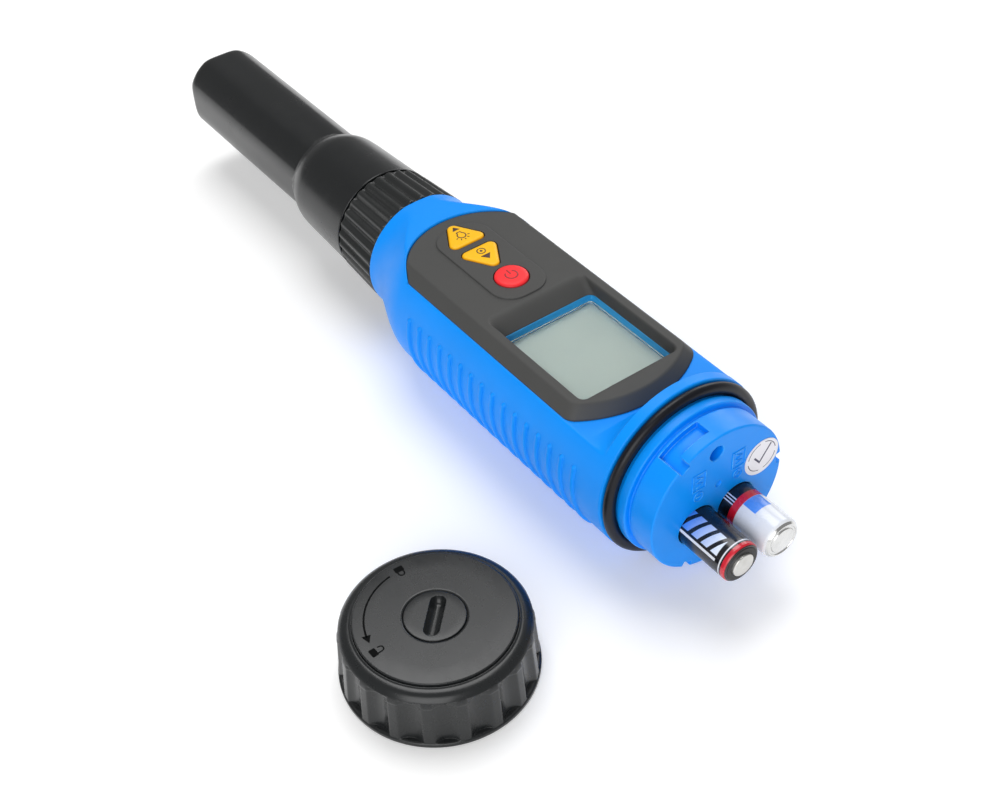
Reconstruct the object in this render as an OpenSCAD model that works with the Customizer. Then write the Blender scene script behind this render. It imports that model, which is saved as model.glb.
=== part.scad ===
// Pen-type digital pH meter with its battery cap taken off and its two cells partly drawn out.
// The meter lies on its back along +X: sensor end towards -X, battery end towards +X, display up (+Z).
// The origin is the middle of the flat rest pad under the grip. Sizes are in millimetres.

/* [Meter body] */
// Radius of the round grip, which is also the height of the meter's axis above the rest pad
body_r = 23.8; // [23.4:0.1:24.2]
// Radius of the neck behind the collar
neck_r = 17.4; // [17:0.1:17.8]
// Wall thickness of the housing
wall = 2.2; // [1.8:0.1:2.4]
// X of the neck's front face, where the collar ends
neck_x = -55.2; // [-55.6:0.1:-54.8]
// X where the neck has swollen to the full grip radius
grip_x = -32; // [-34:0.5:-31]
// X of the housing's rear face
housing_end_x = 52.4; // [52:0.1:52.8]
// Number of raised grip ribs on each side
rib_count = 16; // [10:1:18]
// Distance between neighbouring grip ribs
rib_pitch = 4.55; // [4:0.05:4.6]

/* [Display panel] */
// Height of the panel's top face above the meter's axis
panel_top_h = 16.5; // [16.3:0.1:16.7]
// Height of the seat that the panel is glued to, above the meter's axis
seat_h = 13; // [12.8:0.1:13.2]
// Half width of the panel's top face
panel_top_half = 17.2; // [16.8:0.1:17.4]
// Half width of the panel at its seat
panel_base_half = 19.5; // [19.2:0.1:19.6]
// Travel of the push buttons
button_travel = 0.8; // [0.4:0.1:0.8]

/* [Battery end] */
// X of the plug's outer face
plug_face_x = 66; // [65.5:0.1:66.5]
// Radius of the plug's drum, which the battery cap turns on
drum_r = 19.8; // [19.6:0.1:19.8]
// Radius of an AAA cell over its label
cell_r = 5.25; // [5.2:0.01:5.25]
// Length of an AAA cell over its positive nub
cell_len = 44.5; // [44:0.1:44.5]
// How far each cell stands out of the plug
cell_out = 15.8; // [10:0.1:16]
// Sideways distance of each cell's axis from the middle
cell_y = 6; // [5.95:0.05:6.2]
// Drop of the cells' axes below the meter's axis
cell_drop = 5.1; // [4.5:0.1:5.5]

/* [Battery cap] */
// X of the loose cap's centre
cap_x = 49.1; // [30:0.1:60]
// Y of the loose cap's centre
cap_y = -67.8; // [-80:0.1:-60]
// Radius of the cap's bottom rim
cap_r = 23.25; // [23.1:0.05:23.5]
// Height of the cap
cap_h = 16.8; // [16.5:0.1:17.5]
// Number of finger flutes around the cap
flute_count = 18; // [12:1:20]

/* [Sensor end] */
// X of the protective cap's closed tip
tip_x = -169.2; // [-175:0.1:-166]
// Radius of the plain probe stem
stem_r = 8; // [7.5:0.1:8]
// Number of grip flutes around the collar ring
collar_flutes = 30; // [24:1:32]

/* [Hidden] */

$fn = 96;
eps = 0.01;
axis_z = body_r;
gap = 0.15;

// X stations of the rear end
ring_section_r = 1.8;
ring_mid_x = housing_end_x + ring_section_r;
flange_x = ring_mid_x + ring_section_r;
flange_end_x = flange_x + 1.8;
flange_r = 20.9;
ring_core_r = body_r - 0.2 - 2 * ring_section_r;
crest_x = 50.5;
panel_rear_x = 42.4;

// X stations of the sensor end
collar_front_x = -72.6;
cap_mouth_x = collar_front_x - 0.6;
shoulder_x = -99.5;
spigot_x = -66;
spigot_r = 14;
socket_end_x = -44.5;
socket_r = 12;
stem_start_x = -99;
guard_x = -126;
probe_tip_x = -150;

// Bayonet: the cap's lugs enter three slots in the drum and turn clockwise into side channels
slot_step = 120;
slot_entry_deg = 124;
slot_entry_span = 9;
slot_turn_span = 35;
channel_x0 = 59.1;
channel_x1 = 63.2;
slot_depth = 1.6;
drum_core_r = drum_r - slot_depth;

// Cells
cell_end_x = plug_face_x + cell_out;
cell_axis_h = -cell_drop;
can_r = cell_r - 0.15;
bore_r = cell_r + 0.1;
bore_bottom_x = 20.6;
nub_r = 3;
nub_h = 0.9;

// Window
win_x0 = 2;
win_x1 = 34.6;
win_half = 14.4;
win_draft = 1.5;
ramp_x = -1.5;
// Hollow under the keys
key_hollow_x0 = -35;
key_hollow_x1 = -3.5;
lens_top_h = 11;

// ---------- helpers ----------

// Puts a shape drawn around Z onto the meter's axis: local X, Y, Z become +Y, +Z, +X
module on_axis(x = 0) translate([x, 0, axis_z]) rotate([90, 0, 90]) children();

// A plain round piece on the meter's axis from x0 to x1
module round_bar(x0, x1, r) on_axis(x0) cylinder(r = r, h = x1 - x0);

// A round piece with a bore, from x0 to x1
module round_tube(x0, x1, r_out, r_in) difference() {
    round_bar(x0, x1, r_out);
    round_bar(x0 - eps, x1 + eps, r_in);
}

// Points of an arc in the plane
function arc(cx, cy, r, a0, a1, n = 12) =
    [for (i = [0:n]) let (a = a0 + (a1 - a0) * i / n) [cx + r * cos(a), cy + r * sin(a)]];

// Smooth swelling from 0 to 1
function swell(t) = t * t * (3 - 2 * t);

// A cut or plate given by an outline in the X-H plane (H is height above the axis), spanning all widths
module side_profile(points, half_width) translate([0, half_width, axis_z]) rotate([90, 0, 0])
    linear_extrude(2 * half_width) polygon(points);

// A plate given by an outline in plan, between two heights above the axis
module plan_plate(h0, h1) translate([0, 0, axis_z + h0]) linear_extrude(h1 - h0) children();

// Rectangle in plan with round corners
module round_rect(x0, x1, half, r) {
    polygon(concat(
        arc(x1 - r, half - r, r, 0, 90, 6), arc(x0 + r, half - r, r, 90, 180, 6),
        arc(x0 + r, -half + r, r, 180, 270, 6), arc(x1 - r, -half + r, r, 270, 360, 6)));
}

// ---------- meter body ----------

swell_start_x = -54;
swell_steps = 14;
function body_radius(x) = neck_r + (body_r - neck_r) * swell((x - swell_start_x) / (grip_x - swell_start_x));

module body_profile() {
    curve = [for (i = [0:swell_steps]) let (x = swell_start_x + (grip_x - swell_start_x) * i / swell_steps)
        [body_radius(x), x]];
    polygon(concat([[0, neck_x], [neck_r - 0.3, neck_x]], curve,
        [[body_r, housing_end_x - 0.4], [body_r - 0.4, housing_end_x], [0, housing_end_x]]));
}

// Outline of the panel in plan: arched front, straight sides and a slightly bowed rear edge
front_arc_r = 19.2;
rear_arc_r = 30.6;
module panel_outline(half, grow = 0) {
    front_cx = -43.4 + front_arc_r;
    rear_cx = panel_rear_x - rear_arc_r;
    front_a = asin(min(1, (half + grow) / (front_arc_r + grow + 1.6)));
    rear_a = asin((half - 2.5) / rear_arc_r);
    corner = 4;
    straight_x1 = 38;
    intersection() {
        polygon(concat(
            arc(front_cx, 0, front_arc_r + grow, 180 - front_a, 180 + front_a, 20),
            [[-28, -half - grow]],
            arc(rear_cx, 0, rear_arc_r + grow, -rear_a, rear_a, 16),
            [[-28, half + grow]]));
        translate([-50, -half - grow]) square([100, 2 * (half + grow)]);
        union() {
            translate([-50, -half - grow]) square([50 + straight_x1 - corner, 2 * (half + grow)]);
            translate([0, -half - grow + corner]) square([60, 2 * (half + grow - corner)]);
            for (s = [-1, 1])
                translate([straight_x1 - corner, s * (half + grow - corner)]) circle(r = corner);
        }
    }
}

module grip_ribs() {
    rib_span = 56;
    first_x = -25.9;
    for (i = [0:rib_count - 1], start = [165, -41])
        on_axis(first_x + i * rib_pitch) rotate([0, 0, start]) rotate_extrude(angle = rib_span)
            translate([body_r - 0.3, 0]) polygon([[0, -0.75], [0.45, -0.75], [0.75, -0.4],
                [0.75, 0.4], [0.45, 0.75], [0, 0.75]]);
}

module housing() {
    deck_h = 16.9;
    pad_half = 8;
    pad_len = 72;
    color([0.0, 0.55, 0.98]) difference() {
        union() {
            on_axis() rotate_extrude() body_profile();
            grip_ribs();
            translate([-pad_len / 2, -pad_half, 0]) cube([pad_len, 2 * pad_half, 4]);
            round_bar(spigot_x, neck_x + 1, spigot_r - 0.06);
        }
        // flat deck between neck and panel
        translate([neck_x - 5, -40, axis_z + deck_h]) cube([27, 80, 20]);
        // seat under the panel, sloping up to the rear crest
        side_profile([[-31, seat_h], [panel_rear_x + 0.4, seat_h], [crest_x, body_r + 0.6],
            [crest_x, 40], [-31, 40]], 40);
        plan_plate(seat_h, 30) panel_outline(panel_base_half, gap);
        // electrode socket in the neck
        round_bar(spigot_x - 1, socket_end_x, socket_r);
        // hollow inside, leaving a roof under the rear slope and a boss for the plug's screw
        difference() {
            on_axis() rotate_extrude() polygon([[0, socket_end_x - eps], [10, socket_end_x - eps], [10, -37],
                [body_r - wall, -28], [body_r - wall, housing_end_x + 1], [0, housing_end_x + 1]]);
            side_profile([[panel_rear_x - 1.5, 40], [panel_rear_x - 1.5, seat_h - wall],
                [panel_rear_x + 1, seat_h - wall], [housing_end_x + 2, 20.6], [housing_end_x + 2, 40]], 40);
            translate([0, screw_y, screw_h]) round_bar(45.5, housing_end_x - 0.6, 2.8);
        }
        // room for the pressed keys' flanges
        plan_plate(seat_h - 1.2, seat_h + 1) round_rect(-40.8, key_hollow_x1, 7, 3);
        // screw hole in the rear wall
        translate([0, screw_y, screw_h]) round_bar(47, housing_end_x + 1, screw_r + 0.02);
    }
}

screw_y = -1.1;
screw_h = 14.9;
screw_r = 0.88;

module front_panel() {
    field_half = 7.9;
    field_h = panel_top_h + 0.4;
    color([0.33, 0.33, 0.34]) difference() {
        union() {
            intersection() {
                plan_plate(seat_h + 0.05, panel_top_h) panel_outline(panel_base_half);
                translate([-50, 0, axis_z]) rotate([90, 0, 90]) linear_extrude(100) polygon([
                    [-panel_base_half, seat_h], [-panel_base_half, seat_h + 0.6],
                    [-panel_top_half, panel_top_h], [panel_top_half, panel_top_h],
                    [panel_base_half, seat_h + 0.6], [panel_base_half, seat_h]]);
            }
            // key field, raised by a hair
            plan_plate(panel_top_h - 0.5, field_h) round_rect(-39, -4, field_half, 6);
        }
        // hollow under the keys
        plan_plate(seat_h - 1, panel_top_h - 2.1) round_rect(key_hollow_x0, key_hollow_x1, 12, 3);
        // window pocket with sloping side and rear walls
        intersection() {
            side_profile([[ramp_x, panel_top_h + eps], [win_x0, seat_h], [win_x0, 10],
                [win_x1, 10], [win_x1, seat_h], [win_x1 + win_draft + 0.8, panel_top_h + 1]], 40);
            translate([-50, 0, axis_z]) rotate([90, 0, 90]) linear_extrude(100) polygon([
                [-win_half, 10], [-win_half, seat_h], [-win_half - win_draft, panel_top_h + 1],
                [win_half + win_draft, panel_top_h + 1], [win_half, seat_h], [win_half, 10]]);
        }
        // button holes
        plan_plate(0, 30) button_outline(0, 0.2);
        plan_plate(0, 30) button_outline(1, 0.2);
        plan_plate(0, 30) button_outline(2, 0.2);
    }
}

module display_frame() {
    color([0.25, 0.62, 0.9]) difference() {
        plan_plate(lens_top_h - 1.1, seat_h) round_rect(win_x0 - 2.2, win_x1 + 2.2, win_half + 1.8, 1.5);
        plan_plate(0, 30) round_rect(win_x0 + 0.1, win_x1 - 0.1, win_half - 0.1, 1);
    }
}

module window_lens() {
    color([0.8, 0.85, 0.83, 0.4]) plan_plate(lens_top_h - 0.8, lens_top_h)
        round_rect(win_x0 + 0.15, win_x1 - 0.15, win_half - 0.15, 1);
}

module lcd_glass() {
    color([0.68, 0.72, 0.68]) plan_plate(lens_top_h - 2.4, lens_top_h - 1.15)
        round_rect(win_x0 - 2, win_x1 + 2, win_half + 1.4, 0.5);
}

module backlight_plate() {
    color([0.9, 0.92, 0.9]) plan_plate(lens_top_h - 4.1, lens_top_h - 2.45)
        round_rect(win_x0 - 1.6, win_x1 + 1.2, win_half + 0.8, 1);
}

board_h = 5.2;
board_thick = 1.6;
screw_spots = [[-24, 10], [-24, -10], [38, 12], [38, -12]];

module circuit_board() {
    color([0.05, 0.4, 0.2]) difference() {
        union() {
            plan_plate(board_h, board_h + board_thick) round_rect(-27.5, 40.5, 15.5, 2);
            // controller chip under the board
            plan_plate(board_h - 1.4, board_h + eps) round_rect(-12, -2, 5, 0.4);
        }
        for (p = screw_spots) translate([p[0], p[1], axis_z]) cylinder(r = 1.1, h = 20);
    }
}

module board_screws() {
    color([0.75, 0.75, 0.77]) for (p = screw_spots) translate([p[0], p[1], axis_z]) {
        translate([0, 0, board_h - 3]) cylinder(r = 1, h = 3 + board_thick + eps);
        translate([0, 0, board_h + board_thick]) cylinder(r = 1.9, h = 1);
    }
}

module button_mat() {
    dome_top_h = panel_top_h - 2.1 - 0.9 - button_travel - 0.3;
    color([0.75, 0.76, 0.78]) {
        plan_plate(board_h + board_thick + 0.02, board_h + board_thick + 1)
            round_rect(-22, key_hollow_x1 - 0.5, 9, 2);
        for (p = [[-17.5, 0], [-12.3, 0]]) translate([p[0], p[1], axis_z + board_h + board_thick + 0.5])
            cylinder(r1 = 2.4, r2 = 1.4, h = dome_top_h - board_h - board_thick - 0.5);
    }
}

// ---------- push buttons ----------

key_x = [-34.4, -23.9, -12.3];
key_round = 1.7;
// Outline of button i, grown by g: two facing triangles and a round one
module button_outline(i, g) {
    if (i == 2) translate([key_x[2], 0]) circle(r = 4.5 + g);
    else {
        s = i == 0 ? -1 : 1;
        apex = 5.4;
        base = 4.1;
        half = 5.2;
        lean = atan((half - key_round) / (apex + base - 2 * key_round));
        r = key_round + g;
        translate([key_x[i], 0]) mirror([s < 0 ? 1 : 0, 0]) polygon(concat(
            arc(apex - key_round, 0, r, -90 + lean, 90 - lean, 8),
            arc(-base + key_round, half - key_round, r, 90 - lean, 180, 6),
            arc(-base + key_round, -half + key_round, r, 180, 270 + lean, 6)));
    }
}

// A button: cap through the panel, flange below it and a stem towards its dome
module push_button(i) {
    top_h = panel_top_h + (i == 2 ? 1.1 : 0.8);
    flange_top_h = panel_top_h - 2.1 - 0.1;
    intersection() {
        plan_plate(flange_top_h - 0.9, top_h) button_outline(i, 0.05);
        plan_plate(flange_top_h - 0.9, top_h + 10) translate([key_x[i], 0]) circle(r = 7);
    }
    plan_plate(flange_top_h - 0.9, flange_top_h) button_outline(i, 0.1);
}

module button_light() color([1, 0.72, 0.05]) push_button(0);
module button_mode() color([1, 0.72, 0.05]) push_button(1);
module button_power() color([0.9, 0.12, 0.15]) push_button(2);

// ---------- battery end ----------

module rear_o_ring() {
    color([0.05, 0.05, 0.06]) on_axis(ring_mid_x) rotate_extrude()
        translate([ring_core_r + ring_section_r, 0])
        circle(r = ring_section_r, $fn = 48);
}

// One L-shaped bayonet slot, drawn around Z with Z along the meter
module bayonet_slot() {
    rotate([0, 0, -slot_entry_span / 2]) translate([0, 0, channel_x0]) rotate_extrude(angle = slot_entry_span)
        translate([drum_r - slot_depth, 0]) square([5, 20]);
    // the channel starts at the middle of the entry and runs round from there
    rotate([0, 0, slot_entry_span / 2 - slot_turn_span]) translate([0, 0, channel_x0])
        rotate_extrude(angle = slot_turn_span - slot_entry_span / 2)
        translate([drum_r - slot_depth, 0]) square([5, channel_x1 - channel_x0]);
}

tube_start_x = bore_bottom_x - 1.2;
tube_r = 6.6;

module cell_bores(x0, x1) {
    for (s = [-1, 1]) translate([0, s * cell_y, cell_axis_h]) round_bar(x0, x1, bore_r);
}

// Drum that the battery cap turns on, its flange and the shoulder that fits the housing
module battery_plug() {
    shoulder_r = body_r - wall - 0.2;
    shoulder_x0 = housing_end_x - 2;
    color([0.0, 0.5, 0.95]) difference() {
        union() {
            round_bar(housing_end_x - 0.5, plug_face_x, drum_core_r);
            // locating shoulder inside the housing, cut away under the housing's roof
            difference() {
                round_bar(shoulder_x0, housing_end_x - 0.05, shoulder_r);
                translate([40, -40, axis_z + 8.5]) cube([20, 80, 40]);
            }
        }
        cell_bores(shoulder_x0 - 1, plug_face_x + 1);
        // screw well, gate mark
        translate([0, screw_y, screw_h]) {
            round_bar(housing_end_x + 1.6, plug_face_x + 1, 2);
            round_bar(housing_end_x - 1, plug_face_x, 1.1);
        }
        translate([0, 0, 4.7]) round_bar(plug_face_x - 0.4, plug_face_x + 1, 0.9);
    }
}

// The drum's wall: a groove for the ring, the flange, and the bayonet slots, which reach down to the core
module bayonet_wall() {
    wall_in_r = drum_core_r + 0.02;
    color([0.0, 0.5, 0.95]) difference() {
        on_axis() rotate_extrude() polygon([[wall_in_r, housing_end_x],
            [ring_core_r, housing_end_x], [ring_core_r, flange_x], [flange_r - 0.3, flange_x],
            [flange_r, flange_x + 0.3], [flange_r, flange_end_x - 0.3], [flange_r - 0.3, flange_end_x],
            [drum_r - 0.5, flange_end_x], [drum_r - 0.5, flange_end_x + 0.8],
            [drum_r, flange_end_x + 0.8], [drum_r, plug_face_x - 0.4], [drum_r - 0.4, plug_face_x],
            [wall_in_r, plug_face_x]]);
        on_axis() for (i = [0:2]) rotate([0, 0, slot_entry_deg + i * slot_step]) bayonet_slot();
    }
}

// Two blind tubes behind the drum, which guide the cells
module cell_tubes() {
    color([0.0, 0.45, 0.9]) difference() {
        for (s = [-1, 1]) translate([0, s * cell_y, cell_axis_h])
            round_bar(tube_start_x, housing_end_x - 2, tube_r);
        cell_bores(bore_bottom_x, housing_end_x);
    }
}

module plug_screw() {
    color([0.6, 0.6, 0.62]) translate([0, screw_y, screw_h]) difference() {
        union() {
            round_bar(housing_end_x + 1.62, housing_end_x + 3.2, 1.85);
            round_bar(47.2, housing_end_x + 1.65, screw_r);
        }
        for (a = [0, 90]) on_axis(housing_end_x + 2.4) rotate([0, 0, a]) translate([-1.2, -0.2, 0])
            cube([2.4, 0.4, 3]);
    }
}

module inner_contacts() {
    plate = 0.4;
    color([0.8, 0.7, 0.4]) for (s = [-1, 1]) translate([0, s * cell_y, cell_axis_h]) {
        round_bar(bore_bottom_x + 0.02, bore_bottom_x + plate, 4);
        round_bar(bore_bottom_x + plate - eps, bore_bottom_x + 1.1, s < 0 ? 2.6 : 1.6);
    }
}

module round_sticker() {
    color([0.95, 0.95, 0.97]) translate([0, 13.2, 5.2])
        round_bar(plug_face_x + 0.01, plug_face_x + 0.12, 5.2);
}

// ---------- cells, drawn on the meter's axis with the outer end at cell_end_x ----------

module cell_can(positive_out) {
    x1 = cell_end_x - (positive_out ? nub_h : 0);
    x0 = cell_end_x - cell_len + (positive_out ? 0 : nub_h);
    nub_x0 = positive_out ? x1 - eps : x0 - nub_h;
    difference() {
        union() {
            on_axis() rotate_extrude() polygon([[0, x0], [can_r - 0.5, x0], [can_r, x0 + 0.5],
                [can_r, x1 - 0.5], [can_r - 0.5, x1], [0, x1]]);
            round_bar(nub_x0, nub_x0 + nub_h + eps, nub_r);
        }
        // sunk ring around the flat end's raised disc
        if (!positive_out) round_tube(x1 - 0.35, x1 + 1, 4.1, 3.3);
    }
}

module cell_label(positive_out) {
    x1 = cell_end_x - (positive_out ? nub_h : 0) - 0.6;
    x0 = cell_end_x - cell_len + (positive_out ? 0 : nub_h) + 0.6;
    round_tube(x0, x1, cell_r, can_r);
}

module cell_seal(positive_out) {
    x = positive_out ? cell_end_x - nub_h : cell_end_x - cell_len + nub_h - 0.3;
    round_tube(x, x + 0.3, can_r - 0.6, nub_r + 0.15);
}

module left_place() translate([0, -cell_y, cell_axis_h]) children();
module right_place() translate([0, cell_y, cell_axis_h]) children();
module left_cell_can() color([0.8, 0.8, 0.8]) left_place() cell_can(true);
module left_cell_label() color([0.1, 0.1, 0.14]) left_place() cell_label(true);
module left_cell_seal() color([0.12, 0.12, 0.12]) left_place() cell_seal(true);
module right_cell_can() color([0.8, 0.8, 0.8]) right_place() cell_can(false);
module right_cell_label() color([0.85, 0.87, 0.9]) right_place() cell_label(false);
module right_cell_seal() color([0.12, 0.12, 0.12]) right_place() cell_seal(false);

// ---------- electrode ----------

flange_front_x = collar_front_x + 3.4;

module neck_connector() {
    color([0.1, 0.1, 0.11]) difference() {
        round_bar(socket_end_x + 0.02, socket_end_x + 6, 9.9);
        for (a = [0:90:270]) on_axis(socket_end_x - 1) rotate([0, 0, a]) translate([5, 0, 0])
            cylinder(r = 0.9, h = 4);
    }
}

module electrode_base() {
    color([0.13, 0.13, 0.14]) on_axis() difference() {
        rotate_extrude() polygon([[0, stem_start_x], [11.2, stem_start_x], [11.8, stem_start_x + 0.6],
            [11.8, cap_mouth_x - 9.4], [10.4, cap_mouth_x - 9.4], [10.4, cap_mouth_x - 6.6],
            [11.8, cap_mouth_x - 6.6], [11.8, flange_front_x], [spigot_r - 0.15, flange_front_x],
            [spigot_r - 0.15, spigot_x - 0.3], [socket_r - 0.2, spigot_x - 0.3],
            [socket_r - 0.2, -62], [10.5, -62], [10.5, -59.8], [socket_r - 0.2, -59.8],
            [socket_r - 0.2, -55], [10.5, -55], [10.5, -52.8], [socket_r - 0.2, -52.8],
            [socket_r - 0.2, socket_end_x - 1.5], [socket_r - 0.8, socket_end_x - 0.9],
            [0, socket_end_x - 0.9]]);
        translate([0, 0, stem_start_x - 1]) cylinder(r = stem_r - 0.98, h = 6);
    }
}

module electrode_seals() {
    color([0.06, 0.06, 0.06]) for (x = [-60.9, -53.9]) on_axis(x) rotate_extrude()
        translate([11.23, 0]) circle(r = 0.72, $fn = 32);
}

module connector_pins() {
    color([0.85, 0.72, 0.35]) for (a = [0:90:270]) on_axis(socket_end_x - 0.9) rotate([0, 0, a])
        translate([5, 0, 0]) cylinder(r = 0.6, h = 3.4);
}

module probe_stem() {
    color([0.16, 0.16, 0.17]) difference() {
        union() {
            round_bar(guard_x, stem_start_x + eps, stem_r);
            round_bar(stem_start_x - eps, stem_start_x + 4.5, stem_r - 1);
        }
        // seat for the glass
        round_bar(guard_x - 1, guard_x + 5, 3.6);
        // seat for the temperature sensor
        translate([0, 0, -5.6]) round_bar(guard_x - 1, guard_x + 5, 1.05);
        // groove for the reference junction
        round_tube(guard_x + 6, guard_x + 8, stem_r + 1, stem_r - 0.6);
    }
}

module junction_ring() {
    color([0.93, 0.92, 0.88]) round_tube(guard_x + 6.02, guard_x + 7.98, stem_r, stem_r - 0.58);
}

module sensor_guard() {
    slot_w = 5;
    guard_r = stem_r - 0.4;
    guard_in_r = 6.75;
    color([0.16, 0.16, 0.17]) difference() {
        round_tube(probe_tip_x, guard_x - 0.02, guard_r, guard_in_r);
        for (a = [0:60:120]) on_axis(probe_tip_x + 3) rotate([0, 0, a + 30]) translate([-20, -slot_w / 2, 0])
            cube([40, slot_w, 15]);
    }
}

module glass_bulb() {
    bulb_r = 4.2;
    bulb_x = probe_tip_x + 6.5;
    color([0.85, 0.9, 0.92, 0.5]) {
        round_bar(bulb_x, guard_x + 4.9, 3.5);
        translate([bulb_x, 0, axis_z]) sphere(r = bulb_r);
    }
}

module temperature_pin() {
    color([0.75, 0.76, 0.78]) translate([0, 0, -5.6]) round_bar(probe_tip_x + 8, guard_x + 4.9, 1);
}

// ---------- collar and protective cap ----------

module collar_ring() {
    groove_r = 1.35;
    color([0.09, 0.1, 0.1]) difference() {
        on_axis() rotate_extrude() polygon([[socket_r + 0.3, collar_front_x], [16.3, collar_front_x],
            [16.7, collar_front_x + 0.4], [17.4, neck_x - 0.5], [17.1, neck_x - 0.15],
            [16.25, neck_x - 0.15], [16.25, -57.65], [spigot_r, -57.65],
            [spigot_r, flange_front_x - 0.08], [socket_r + 0.3, flange_front_x - 0.08]]);
        for (i = [0:collar_flutes - 1]) on_axis(collar_front_x - 1) rotate([0, 0, i * 360 / collar_flutes])
            translate([17.9, 0, 0]) cylinder(r = groove_r, h = 17.2, $fn = 24);
    }
}

module collar_washer() {
    color([0.85, 0.85, 0.82]) round_tube(-57.6, neck_x - 0.65, 16.2, spigot_r + 0.02);
}

module cap_bore() {
    round_bar(-99.7, cap_mouth_x + 1, 12.2);
    round_bar(-165.5, -99, 10.2);
}

module protective_cap() {
    tube_r = 13;
    tube_half = 12.1;
    color([0.07, 0.08, 0.08]) difference() {
        union() {
            on_axis() rotate_extrude() polygon(concat([[0, shoulder_x - 4.5], [12.6, shoulder_x - 4.5],
                [13.4, shoulder_x - 4]], arc(11.9, shoulder_x + 1.4, 3.2, -60, -5, 8),
                [[15.35, -95], [16.15, cap_mouth_x - 0.3], [15.85, cap_mouth_x], [0, cap_mouth_x]]));
            intersection() {
                on_axis() rotate_extrude() polygon([[0, tip_x], [tube_r - 1.6, tip_x],
                    [tube_r - 0.5, tip_x + 0.5], [tube_r, tip_x + 1.8], [tube_r, -95], [0, -95]]);
                on_axis(tip_x - 1) translate([-tube_half, -tube_half, 0])
                    cube([2 * tube_half, 2 * tube_half, 80]);
            }
        }
        cap_bore();
    }
}

module storage_sponge() {
    color([0.9, 0.85, 0.6]) difference() {
        round_bar(-165.4, -158.5, 10.1);
        round_bar(-162.5, -158, 5.5);
    }
}

module cap_grip_ring() {
    color([0.06, 0.06, 0.06]) on_axis(cap_mouth_x - 8) rotate_extrude() translate([11.2, 0])
        circle(r = 0.75, $fn = 32);
}

// ---------- battery cap, lying mouth down beside the meter ----------

module cap_place() translate([cap_x, cap_y, 0]) children();

cap_bore_r = 20;
cap_ceiling_z = 13.3;
disc_seat_z = 14.6;
disc_r = 18.6;
coin_r = 7.1;
lug_z0 = 3.9;
lug_z1 = 7.3;
lug_r = 18.65;
rivet_r = 1.5;
rivet_seat_z = 14;

module cap_shell() {
    color([0.2, 0.21, 0.21]) cap_place() difference() {
        rotate_extrude() polygon(concat([[21.2, 0], [cap_r, 0], [cap_r, 1], [cap_r - 0.25, 1.3]],
            arc(19.1, 12.4, 3.2, 5, 85, 10), [[18.9, 15.9], [disc_r + 0.1, 15.6], [disc_r + 0.1, disc_seat_z],
            [4.2, disc_seat_z], [4.2, rivet_seat_z], [rivet_r + 0.08, rivet_seat_z],
            [rivet_r + 0.08, cap_ceiling_z], [cap_bore_r, cap_ceiling_z], [cap_bore_r, 3.2], [21.2, 3.2]]));
        for (i = [0:flute_count - 1]) rotate([0, 0, (i + 0.5) * 360 / flute_count]) translate([26.1, 0, 1.3])
            cylinder(r = 3.9, h = 12.2, $fn = 48);
    }
    // bayonet lugs
    color([0.2, 0.21, 0.21]) cap_place() for (i = [0:2]) rotate([0, 0, 90 + i * 120 - 3.5])
        translate([0, 0, lug_z0]) rotate_extrude(angle = 7)
        translate([lug_r, 0]) square([cap_bore_r + 0.3 - lug_r, lug_z1 - lug_z0]);
}

module cap_top_disc() {
    color([0.22, 0.23, 0.23]) cap_place() rotate_extrude() polygon([[coin_r + 0.15, disc_seat_z + 0.02],
        [disc_r - 0.15, disc_seat_z + 0.02], [disc_r - 0.15, 15.8], [disc_r - 0.4, 16.1],
        [coin_r + 0.35, 16.7], [coin_r + 0.15, 16.5]]);
}

module cap_coin_disc() {
    slot_len = 11.5;
    slot_w = 3.6;
    slot_deg = -45;
    color([0.22, 0.23, 0.23]) cap_place() difference() {
        rotate_extrude() polygon([[0, disc_seat_z + 0.02], [coin_r - 0.1, disc_seat_z + 0.02],
            [coin_r - 0.1, 16.45], [coin_r - 0.35, 16.7], [0, cap_h]]);
        // coin slot with an arched floor
        rotate([0, 0, slot_deg]) intersection() {
            translate([0, slot_w / 2, 24.5]) rotate([90, 0, 0]) cylinder(r = 9.6, h = slot_w);
            translate([0, 0, 14]) linear_extrude(5) union() {
                translate([-(slot_len - slot_w) / 2, -slot_w / 2]) square([slot_len - slot_w, slot_w]);
                for (s = [-1, 1]) translate([s * (slot_len - slot_w) / 2, 0]) circle(d = slot_w);
            }
        }
    }
}

module contact_carrier() {
    color([0.15, 0.15, 0.16]) cap_place() difference() {
        translate([0, 0, 11.7]) cylinder(r = 17.2, h = 1.4);
        translate([0, 0, 11]) cylinder(r = rivet_r, h = 3);
    }
}

module contact_bridge() {
    color([0.85, 0.75, 0.4]) cap_place() difference() {
        translate([0, 0, 11.2]) linear_extrude(0.48) union() {
            translate([-cell_y, -3 - cell_drop]) square([2 * cell_y, 6]);
            for (s = [-1, 1]) translate([s * cell_y, -cell_drop]) circle(r = 4.2);
            translate([-2.6, -cell_drop]) square([5.2, cell_drop]);
            circle(r = 2.6);
        }
        translate([0, 0, 11]) cylinder(r = rivet_r, h = 3);
    }
}

module contact_springs() {
    turn_r = 2.6;
    wire_r = 0.35;
    color([0.8, 0.8, 0.82]) cap_place() for (s = [-1, 1]) translate([s * cell_y, -cell_drop, 0])
        for (i = [0:2]) translate([0, 0, 11.18 - wire_r - i * 2 * (wire_r - 0.02)]) rotate_extrude()
            translate([turn_r - i * 0.5, 0]) circle(r = wire_r, $fn = 24);
}

module carrier_rivet() {
    color([0.8, 0.8, 0.82]) cap_place() {
        translate([0, 0, 10.4]) cylinder(r = 2.4, h = 0.79);
        translate([0, 0, 11]) cylinder(r = rivet_r, h = 3.2);
        translate([0, 0, rivet_seat_z + 0.04]) cylinder(r = 3.6, h = 0.5);
    }
}

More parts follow.
